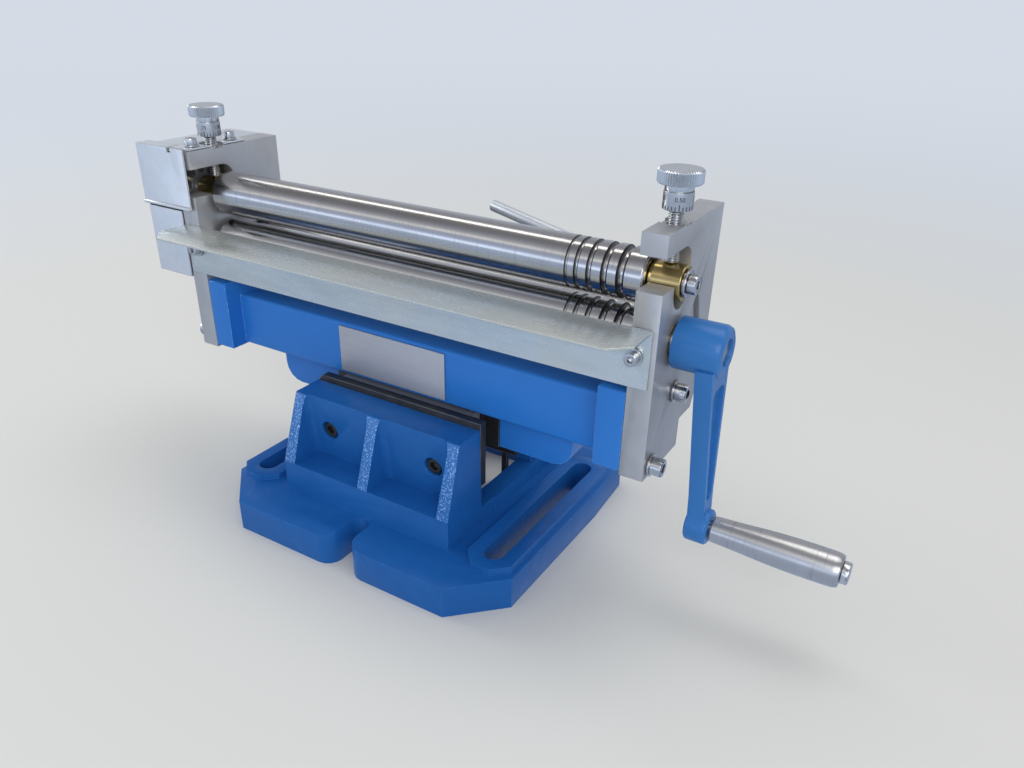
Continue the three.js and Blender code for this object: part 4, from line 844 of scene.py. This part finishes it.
# Runs a tree on a mesh and gives the result as a plain mesh
def grown(name, tree, values, start=None):
    carrier = bpy.data.objects.new(name, start or bpy.data.meshes.new(name))
    bpy.context.scene.collection.objects.link(carrier)
    grow = carrier.modifiers.new("grow", "NODES")
    grow.node_group = tree
    for item in tree.interface.items_tree:
        if item.in_out == "INPUT" and item.name in values:
            grow[item.identifier] = values[item.name]
    carrier.update_tag()
    bpy.context.view_layer.update()
    ready = carrier.evaluated_get(bpy.context.evaluated_depsgraph_get())
    mesh = bpy.data.meshes.new_from_object(ready)
    mesh.name = name
    bpy.data.objects.remove(carrier)
    return mesh


def moved(mesh, matrix):
    mesh.transform(matrix)
    return mesh


# Several meshes as one piece, each with its own finish kept
def joinedPiece(name, meshes, body, standsFor, sharpAngle=34):
    made = bmesh.new()
    kept = []
    for mesh in meshes:
        shift = {}
        for index, material in enumerate(mesh.materials):
            if material not in kept:
                kept.append(material)
            shift[index] = kept.index(material)
        first = len(made.faces)
        made.from_mesh(mesh)
        made.faces.ensure_lookup_table()
        for face in made.faces[first:]:
            face.material_index = shift.get(face.material_index, 0)
    joined = bpy.data.meshes.new(name)
    made.to_mesh(joined)
    made.free()
    for material in kept:
        joined.materials.append(material)
    return newPiece(name, joined, body, None, standsFor, sharpAngle)


def asMesh(name, made, finish):
    mesh = bpy.data.meshes.new(name)
    made.to_mesh(mesh)
    made.free()
    mesh.materials.append(finishes[finish])
    return mesh


# Castings: softened copies of the frame's own solids

# width of the eased edges in mm, paint
castings = {
    "base_casting": (1.6, "castBlue"),
    "body_casting": (1.4, "machineBlue"),
    "crank_arm": (1.3, "armBlue"),
    "moving_jaw": (1.2, "castBlue"),
}
# The sloping fronts of the jaw's ribs are left as cast under the paint. Their faces lie in front of "front"
# and above "low", in mm, and turn this far forward and up
ribFronts = {"front": -45.0, "low": 42.0, "forward": -0.8, "upward": 0.2}


def roughenRibs(piece):
    piece.data.materials.append(finishes["roughBlue"])
    roughSlot = len(piece.data.materials) - 1
    for face in piece.data.polygons:
        centre = face.center / mm
        isInPlace = centre.y < ribFronts["front"] and centre.z > ribFronts["low"]
        if isInPlace and face.normal.y < ribFronts["forward"] and face.normal.z > ribFronts["upward"]:
            face.material_index = roughSlot


for castingName, (easeWidth, castFinish) in castings.items():
    # the eased edges take the paler edge blue, in part a painted highlight
    casting = dressed(castingName, easeWidth, castFinish, "blueEdgeWearAndHighlight")
    if castingName == "base_casting":
        roughenRibs(casting)
print("castings done")


# Plates and sheets

# width of the eased edges in mm, finish of the faces, finish of the edges
plates = {
    "left_end_plate": (0.35, "groundSteel", "steelEdge"),
    "right_end_plate": (0.35, "groundSteel", "steelEdge"),
    "front_jaw_plate": (0.5, "blackSteel", "blackEdge"),
    "rear_jaw_plate": (0.5, "blackSteel", "blackEdge"),
    "jaw_guide_plate": (0.3, "blackSteel", "blackEdge"),
    "boss_pad": (0.25, "blackSteel", "blackEdge"),
    "packing_block": (0.4, "groundSteel", "steelEdge"),
    "name_plate": (0.2, "bareSilver", "bareSilver"),
    "infeed_tray": (0.45, "zincSheet", "zincEdge"),
    "gear_cover": (0.4, "coverZinc", "steelEdge"),
    "guard_flap": (0.35, "coverZinc", "steelEdge"),
    "keeper_strip": (0.3, "coverZinc", "steelEdge"),
    "drive_gear": (0.25, "groundSteel", "steelEdge"),
    "upper_gear": (0.25, "groundSteel", "steelEdge"),
    "lever_hub": (0.5, "groundSteel", "steelEdge"),
    "rear_saddle_left": (0.2, "bushBrass", "bushBrass"),
    "rear_saddle_right": (0.2, "bushBrass", "bushBrass"),
}
for plateName, (easeWidth, face, rim) in plates.items():
    dressed(plateName, easeWidth, face, rim)
print("plates done")


# Rolls

rolls = {
    "barrelRadius": 13.75,
    "barrelFrom": -149.5,
    "barrelTo": 150.7,
    "chamfer": 1.0,
    "chamferEase": 0.2,
    "grooveStart": 257.3,
    "grooveWidths": (1.8, 2.5, 3.0, 3.8, 4.5),
    "grooveLands": (3.6, 4.4, 5.0, 4.6, 0.0),
    "grooveSteps": 12,
    # painted shade in the grooves: the dark finish covers what is at least this deep and this steep, from
    # just before the first groove
    "darkDepth": 0.12,
    "darkSlope": 0.35,
    "darkBefore": 1.0,
}


# Half-round wire grooves, one after another with a land between
def grooves():
    points = []
    along = rolls["barrelFrom"] + rolls["grooveStart"]
    for width, land in zip(rolls["grooveWidths"], rolls["grooveLands"]):
        for k in range(rolls["grooveSteps"] + 1):
            turn = math.pi * k / rolls["grooveSteps"]
            across = along + width / 2 * (1 - math.cos(turn))
            points.append((across, rolls["barrelRadius"] - width / 2 * math.sin(turn)))
        along += width + land
    return points


def barrel(journal, grooved=True):
    radius, chamfer, ease = rolls["barrelRadius"], rolls["chamfer"], rolls["chamferEase"]
    start, end = rolls["barrelFrom"], rolls["barrelTo"]
    return [
        (start, journal), (start, radius - chamfer, ease), (start + chamfer, radius, ease),
        *(grooves() if grooved else ()),
        (end - chamfer, radius, ease), (end, radius - chamfer, ease), (end, journal),
    ]


# The grooves' deep, steep faces take the darker finish: painted shade
def paintGrooveShade(piece):
    radius = (rolls["barrelRadius"] - rolls["darkDepth"]) * mm
    low = (rolls["barrelFrom"] + rolls["grooveStart"] - rolls["darkBefore"]) * mm
    high = (rolls["barrelTo"] - 2 * rolls["chamfer"]) * mm
    axis = middle(piece["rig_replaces"][0]) * mm
    for face in piece.data.polygons:
        centre = face.center
        away = math.hypot(centre.y - axis.y, centre.z - axis.z)
        if low < centre.x < high and away < radius and abs(face.normal.x) > rolls["darkSlope"]:
            face.material_index = 1


# Radii of the rolls' ends, and where along x they step down for the gears and the crank
journals = {
    "lower": 8.0,
    "upper": 6.0,
    "rear": 3.65,
    "gear": 5.0,
    "crank": 7.0,
    "ease": 0.3,
    "crankEase": 0.4,
    "gearShoulder": -171.7,
    "crankShoulder": 168.2,
}


def gearEnd(low, journal):
    gear, shoulder, ease = journals["gear"], journals["gearShoulder"], journals["ease"]
    return [(low, 0), (low, gear, ease), (shoulder, gear), (shoulder, journal, ease)]


def lowerProfile(low, high):
    journal, crank, shoulder = journals["lower"], journals["crank"], journals["crankShoulder"]
    return [*gearEnd(low, journal), *barrel(journal), (shoulder, journal, journals["ease"]),
            (shoulder, crank), (high, crank, journals["crankEase"]), (high, 0)]


def upperProfile(low, high):
    journal = journals["upper"]
    return [*gearEnd(low, journal), *barrel(journal), (high, journal, journals["ease"]), (high, 0)]


def rearProfile(low, high):
    journal, ease = journals["rear"], journals["ease"]
    return [(low, 0), (low, journal, ease), *barrel(journal, grooved=False), (high, journal, ease), (high, 0)]


def makeRoll(node, profile, grooved=True, finish="rollSteel"):
    centre = middle(node)
    piece = turnedPiece(f"{node}_turned", profile(*reach(node, 0)), "X", (0, centre.y, centre.z),
                        bodyOf[node], [finish, "grooveShadeSteel"], [node], steps=128)
    if grooved:
        paintGrooveShade(piece)


makeRoll("lower_roll", lowerProfile)
makeRoll("upper_roll", upperProfile)
# the rear roll takes the darker copy of the roll steel, painted shade
makeRoll("rear_roll", rearProfile, grooved=False, finish="shadedRollSteel")


# bore radius, outer radius, easing
bushes = {"upper": (6.35, 9.0, 0.5), "lower": (8.35, 10.0, 0.4)}
endWasher = (3.2, 7.2, 0.15, 0.3)       # bore radius, outer radius, easing inside and outside


def ringProfile(low, high, bore, outer, innerEase, outerEase):
    return [(low, bore, innerEase), (low, outer, outerEase),
            (high, outer, outerEase), (high, bore, innerEase)]


# A plain ring from one end of a node to the other
def makeRing(node, bore, outer, innerEase, outerEase, finish):
    centre = middle(node)
    profile = ringProfile(*reach(node, 0), bore, outer, innerEase, outerEase)
    turnedPiece(f"{node}_turned", profile, "X", (0, centre.y, centre.z), bodyOf[node], [finish], [node],
                closed=True)


for side in sides:
    for level, (bore, outer, ease) in bushes.items():
        makeRing(f"{level}_bush_{side}", bore, outer, ease, ease, "bushBrass")
print("rolls done")


# Screws

# shank and head radius, height of the head, width of the six-sided socket
screwKinds = {
    "m6": {"shank": 2.9, "head": 5.0, "height": 6.0, "socket": 5.0, "finish": "screwZinc"},
    "m6Low": {"shank": 2.9, "head": 5.0, "height": 4.2, "socket": 4.0, "finish": "screwZinc"},
    "m6Wide": {"shank": 2.9, "head": 7.5, "height": 4.2, "socket": 4.0, "finish": "screwZinc"},
    "m6Black": {"shank": 2.9, "head": 5.0, "height": 6.0, "socket": 5.0, "finish": "blackSteel"},
    "m4": {"shank": 1.9, "head": 3.5, "height": 4.0, "socket": 3.0, "finish": "screwZinc"},
}
washers = {None: (0.0, 0.0), "wide": (6.2, 1.4), "small": (4.7, 0.9)}      # radius, thickness
screwDetail = {
    "steps": 48,
    "tip": 0.02,
    "tipChamfer": 0.5,
    "headChamfer": 0.15,
    # the round rim of the head: how far below its top, how far in from its side
    "rim": ((0.6, 0.0), (0.25, 0.1), (0.08, 0.3), (0.0, 0.65)),
    # the socket: a round mouth and the depth as shares of its width and the head's height, and a lead-in
    "mouthShare": 0.64,
    "depthShare": 0.55,
    "lead": 0.12,
    "leadTop": 0.02,
    "leadFoot": 0.18,
    "pit": 0.05,
    "washerPlay": 0.2,
    "washerGap": 0.05,
    "washerEases": (0.15, 0.25),
}


def screwRings(size, length, seat):
    steps, chamfer, tipChamfer = (screwDetail[key] for key in ("steps", "headChamfer", "tipChamfer"))
    shank, head, socket = size["shank"], size["head"], size["socket"]
    top = seat + size["height"]
    profile = [(-length, screwDetail["tip"]), (-length, shank - tipChamfer), (-length + tipChamfer, shank),
               (seat, shank), (seat, head - chamfer), (seat + chamfer, head),
               *((top - down, head - inward) for down, inward in screwDetail["rim"]),
               (top, socket * screwDetail["mouthShare"])]
    rings = [ringPoints(radius * mm, along * mm, steps) for along, radius in profile]
    flat = socket / 2
    foot = top - size["height"] * screwDetail["depthShare"]
    lead, leadTop, leadFoot = (screwDetail[key] for key in ("lead", "leadTop", "leadFoot"))
    for across, along in ((flat + lead, top - leadTop), (flat, top - leadFoot), (flat, foot)):
        rings.append(ringPoints(across * mm, along * mm, steps, hexagon=True))
    rings.append(ringPoints(screwDetail["pit"] * mm, (foot - flat / 2) * mm, steps))
    return rings


def washerRings(size, washer):
    outer, thick = washers[washer]
    bore = size["shank"] + screwDetail["washerPlay"]
    profile = ringProfile(0, thick - screwDetail["washerGap"], bore, outer, *screwDetail["washerEases"])
    steps = screwDetail["steps"]
    return [ringPoints(radius * mm, along * mm, steps) for along, radius in eased(profile, True)]


def capScrewMesh(kind, length, washer):
    size = screwKinds[kind]
    meshes = [asMesh("screwBody", lofted(screwRings(size, length, washers[washer][1])), size["finish"])]
    if washer:
        meshes.append(asMesh("screwWasher", lofted(washerRings(size, washer), True), size["finish"]))
    made = bmesh.new()
    for mesh in meshes:
        made.from_mesh(mesh)
    return asMesh(f"{kind}Screw", made, size["finish"])


def facingAxis(facing):
    return max(range(3), key=lambda k: abs(facing[k]))


# Where a screw sits: the middle of its head's seat, worked out from its node's box
def screwSeat(node, facing, length):
    low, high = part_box(node)
    centre = (low + high) / 2
    axis = facingAxis(facing)
    tip = low[axis] if facing[axis] > 0 else high[axis]
    centre[axis] = tip + facing[axis] * length * mm
    return centre


# Equal screws, each given as its node and the way its head faces; the first one's box gives their length
def placeScrews(name, kind, seats, washer=None):
    firstNode, firstFacing = seats[0]
    low, high = reach(firstNode, facingAxis(firstFacing))
    length = high - low - (screwKinds[kind]["height"] + washers[washer][1])
    unit = bpy.data.objects.new(f"{name}Unit", capScrewMesh(kind, length, washer))
    points = bpy.data.meshes.new(f"{name}Points")
    points.from_pydata([screwSeat(node, facing, length) for node, facing in seats], [], [])
    facingValues = points.attributes.new("facing", "FLOAT_VECTOR", "POINT")
    for index, (_, facing) in enumerate(seats):
        facingValues.data[index].vector = facing
    bpy.context.scene.collection.objects.link(unit)
    mesh = grown(name, setOut, {
        "Part": unit, "Spin Seed": len(name), "Spin": fullTurn,
        "Finish": finishes[screwKinds[kind]["finish"]]}, points)
    bpy.data.objects.remove(unit)
    names = [node for node, _ in seats]
    newPiece(name, mesh, bodyOf[names[0]], None, names, sharpAngle=30)


toRight, toLeft, toFront, toTop = (1, 0, 0), (-1, 0, 0), (0, -1, 0), (0, 0, 1)
placeScrews("plate_screws", "m6", [
    (f"{level}_plate_screw_{side}", facing)
    for level in ("upper", "lower") for side, facing in (("left", toLeft), ("right", toRight))], "wide")
placeScrews("tray_screws", "m4", [(f"tray_screw_{side}", toFront) for side in sides], "small")
placeScrews("keeper_screws", "m4", [(f"keeper_screw_{end}", toTop) for end in ("front", "back")], "small")
placeScrews("jaw_plate_screws", "m6Black", [(f"jaw_plate_screw_{side}", toFront) for side in sides])
placeScrews("drive_gear_cap_screw", "m6Wide", [("drive_gear_screw", toLeft)])
placeScrews("upper_gear_cap_screw", "m6Wide", [("upper_gear_screw", toLeft)])
placeScrews("roll_end_cap_screw", "m6Low", [("roll_end_screw", toRight)])
makeRing("roll_end_washer", *endWasher, "screwZinc")
print("screws done")


# Adjusting knobs with their dials, and the lift springs

knobs = {
    "knobRadius": 11.0,
    "knurls": 52.0,
    "knurlDepth": 0.8,
    "valleyShare": 0.6,
    "knobEdge": 0.7,
    "sidesPerKnurl": 4,
    "knobRings": 18,
    "screwRadius": 3.9,
    "threadPitch": 1.25,
    "threadDepth": 0.62,
    "threadEdge": 0.8,
    "threadSides": 40,
    "ringsPerPitch": 8,
    "collarRadius": 7.25,
    "collarHeight": 8.7,
    "collarEases": (0.4, 0.35),
    "neckRadius": 6.9,
    "neckGroove": (6.3, 0.4),
    "neckMargin": 0.01,
    "bore": 4.2,
    "ease": 0.2,
    "marks": 25,
    "markLift": 0.25,
    "digits": ("0", ".25", "0.50", ".75", "1.00"),
    "digitSize": 2.9,
    "digitLift": 4.6,
    "digitDepth": 0.04,
    "digitWeight": 0.02,
    "digitGap": 0.02,
    # the way the middle figure of each dial faces, in degrees
    "facing": {"left": -138.0, "right": -63.0},
}


def above(centre, height):
    return Matrix.Translation(Vector((centre.x, centre.y, height)) * mm)


# A knurled disc whose knurl valleys take a darker finish: painted shade
def makeDisc(side, centre, body):
    low, high = reach(f"knob_{side}", 2)
    disc = grown("disc", rippledRod, {
        "Radius": knobs["knobRadius"] * mm, "Length": (high - low) * mm,
        "Sides": int(knobs["knurls"]) * knobs["sidesPerKnurl"], "Rings": knobs["knobRings"],
        "Knurls": knobs["knurls"], "Knurl Depth": knobs["knurlDepth"] * mm,
        "Edge": knobs["knobEdge"] * mm, "Finish": finishes["knobNickel"]})
    disc.materials.append(finishes["knurlValleyShade"])
    valley = (knobs["knobRadius"] - knobs["knurlDepth"] * knobs["valleyShare"]) * mm
    for face in disc.polygons:
        if abs(face.normal.z) < 0.5 and math.hypot(face.center.x, face.center.y) < valley:
            face.material_index = 1
    joinedPiece(f"knob_{side}_knurled", [moved(disc, above(centre, (low + high) / 2))], body,
                [f"knob_{side}"])


def makeThread(side, centre, body):
    low, high = reach(f"adjusting_screw_{side}", 2)
    thread = grown("thread", rippledRod, {
        "Radius": knobs["screwRadius"] * mm, "Length": (high - low) * mm, "Sides": knobs["threadSides"],
        "Rings": int((high - low) / knobs["threadPitch"] * knobs["ringsPerPitch"]),
        "Thread Pitch": knobs["threadPitch"] * mm, "Thread Depth": knobs["threadDepth"] * mm,
        "Edge": knobs["threadEdge"] * mm, "Finish": finishes["screwZinc"]})
    joinedPiece(f"adjusting_screw_{side}_threaded", [moved(thread, above(centre, (low + high) / 2))], body,
                [f"adjusting_screw_{side}"], sharpAngle=50)


# The dial's collar, with a fine groove under the bright neck that carries the knob
def makeCollar(side, centre, body):
    low, high = reach(f"dial_collar_{side}", 2)
    bore, outer, neck, ease = (knobs[key] for key in ("bore", "collarRadius", "neckRadius", "ease"))
    footEase, shoulderEase = knobs["collarEases"]
    grooveRadius, grooveHeight = knobs["neckGroove"]
    shoulder = low + knobs["collarHeight"]
    neckLow = shoulder + grooveHeight
    profile = [(low, bore, ease), (low, outer, footEase), (shoulder, outer, shoulderEase),
               (shoulder, grooveRadius), (neckLow, grooveRadius), (neckLow, neck, ease),
               (high, neck, ease), (high, bore, ease)]
    collar = turnedPiece(f"dial_collar_{side}_turned", profile, "Z", (centre.x, centre.y, 0), body,
                         ["dialZinc", "knobNickel"], [f"dial_collar_{side}"], closed=True)
    for face in collar.data.polygons:
        if face.center.z > (shoulder + knobs["neckMargin"]) * mm:
            face.material_index = 1


# A figure as a thin solid, bent round the collar
def bentText(words, angle):
    curve = bpy.data.curves.new("digits", "FONT")
    curve.body = words
    curve.size = knobs["digitSize"] * mm
    curve.align_x = "CENTER"
    curve.extrude = knobs["digitDepth"] * mm
    curve.offset = knobs["digitWeight"] * mm
    letters = bpy.data.objects.new("digits", curve)
    bpy.context.scene.collection.objects.link(letters)
    bpy.context.view_layer.update()
    ready = letters.evaluated_get(bpy.context.evaluated_depsgraph_get())
    mesh = bpy.data.meshes.new_from_object(ready)
    bpy.data.objects.remove(letters)
    radius = (knobs["collarRadius"] + knobs["digitGap"]) * mm
    for vertex in mesh.vertices:
        bearing = math.radians(angle) + vertex.co.x / radius
        away = radius + vertex.co.z
        vertex.co = (away * math.cos(bearing), away * math.sin(bearing), vertex.co.y)
    mesh.materials.clear()
    mesh.materials.append(finishes["dialInk"])
    return mesh


def makeFigures(side, centre, body):
    foot = reach(f"dial_collar_{side}", 2)[0]
    count = len(knobs["digits"])
    step = 360 / count
    zero = knobs["facing"][side] - count // 2 * step
    marks = grown("marks", dialMarks, {
        "Radius": knobs["collarRadius"] * mm, "Marks": knobs["marks"],
        "Long Every": knobs["marks"] // count, "Finish": finishes["dialInk"]})
    turnToZero = Matrix.Rotation(math.radians(zero), 4, "Z")
    meshes = [moved(marks, above(centre, foot + knobs["markLift"]) @ turnToZero)]
    for index, words in enumerate(knobs["digits"]):
        meshes.append(moved(bentText(words, zero + index * step), above(centre, foot + knobs["digitLift"])))
    joinedPiece(f"dial_figures_{side}", meshes, body, ())


def makeKnob(side):
    for make in (makeDisc, makeThread, makeCollar, makeFigures):
        make(side, middle(f"knob_{side}"), bodyOf[f"knob_{side}"])


springs = {"turns": 3.0, "radius": 2.7, "wire": 0.45, "closeUp": 0.64}


def makeSpring(side):
    node = f"lift_spring_{side}"
    low, high = reach(node, 2)
    centre = middle(node)
    mesh = grown(node, coil, {
        "Turns": springs["turns"], "Radius": springs["radius"] * mm, "Wire": springs["wire"] * mm,
        "Height": (high - low - 2 * springs["wire"]) * mm, "Finish": finishes["springWire"]})
    moved(mesh, above(centre, low + springs["wire"]))
    piece = joinedPiece(f"{node}_coil", [mesh], bodyOf[node], [node], sharpAngle=60)
    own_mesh(piece)


for side in sides:
    makeKnob(side)
    makeSpring(side)
print("knobs and springs done")


# Crank handle, lever, spindle and the small set screws

# The grip's outline: a share of its length, mm beyond that place, radius, width of the easing
handle = {
    "bore": 4.4,
    "outline": [
        (0.0, 0.0, 6.8, 0.4), (0.0, 1.0, 7.2, 0.3), (0.2, 0.0, 7.8, 6.0), (0.5, 0.0, 9.2, 8.0),
        (0.75, 0.0, 9.5, 6.0), (1.0, -3.0, 9.3, 1.5), (1.0, 0.0, 8.5, 0.8),
    ],
}


def makeHandle():
    low, high = reach("handle_sleeve", 0)
    centre = middle("handle_sleeve")
    outline = [(low + (high - low) * share + beyond, radius, easing)
               for share, beyond, radius, easing in handle["outline"]]
    profile = [(low, handle["bore"]), *outline, (high, handle["bore"])]
    turnedPiece("handle_sleeve_turned", profile, "X", (0, centre.y, centre.z), "handle", ["handleSteel"],
                ["handle_sleeve"], closed=True, steps=112)


makeHandle()
dressed("handle_screw", 0.3, "knobNickel", "steelEdge")
dressed("crank_grub_screw", 0.3, "blackSteel")
for side in sides:
    dressed(f"rear_set_screw_{side}", 0.3, "blackSteel")
dressed("lock_screw", 0.3, "groundSteel")
dressed("lever_rod", 0.3, "coverZinc", angle=50)
dressed("spindle_pin", 0.2, "groundSteel")
dressed("clamp_spindle", 0.5, "groundSteel", "steelEdge")
print("handle and small parts done")

makeCamera()
makeStage()
print("scene ready")
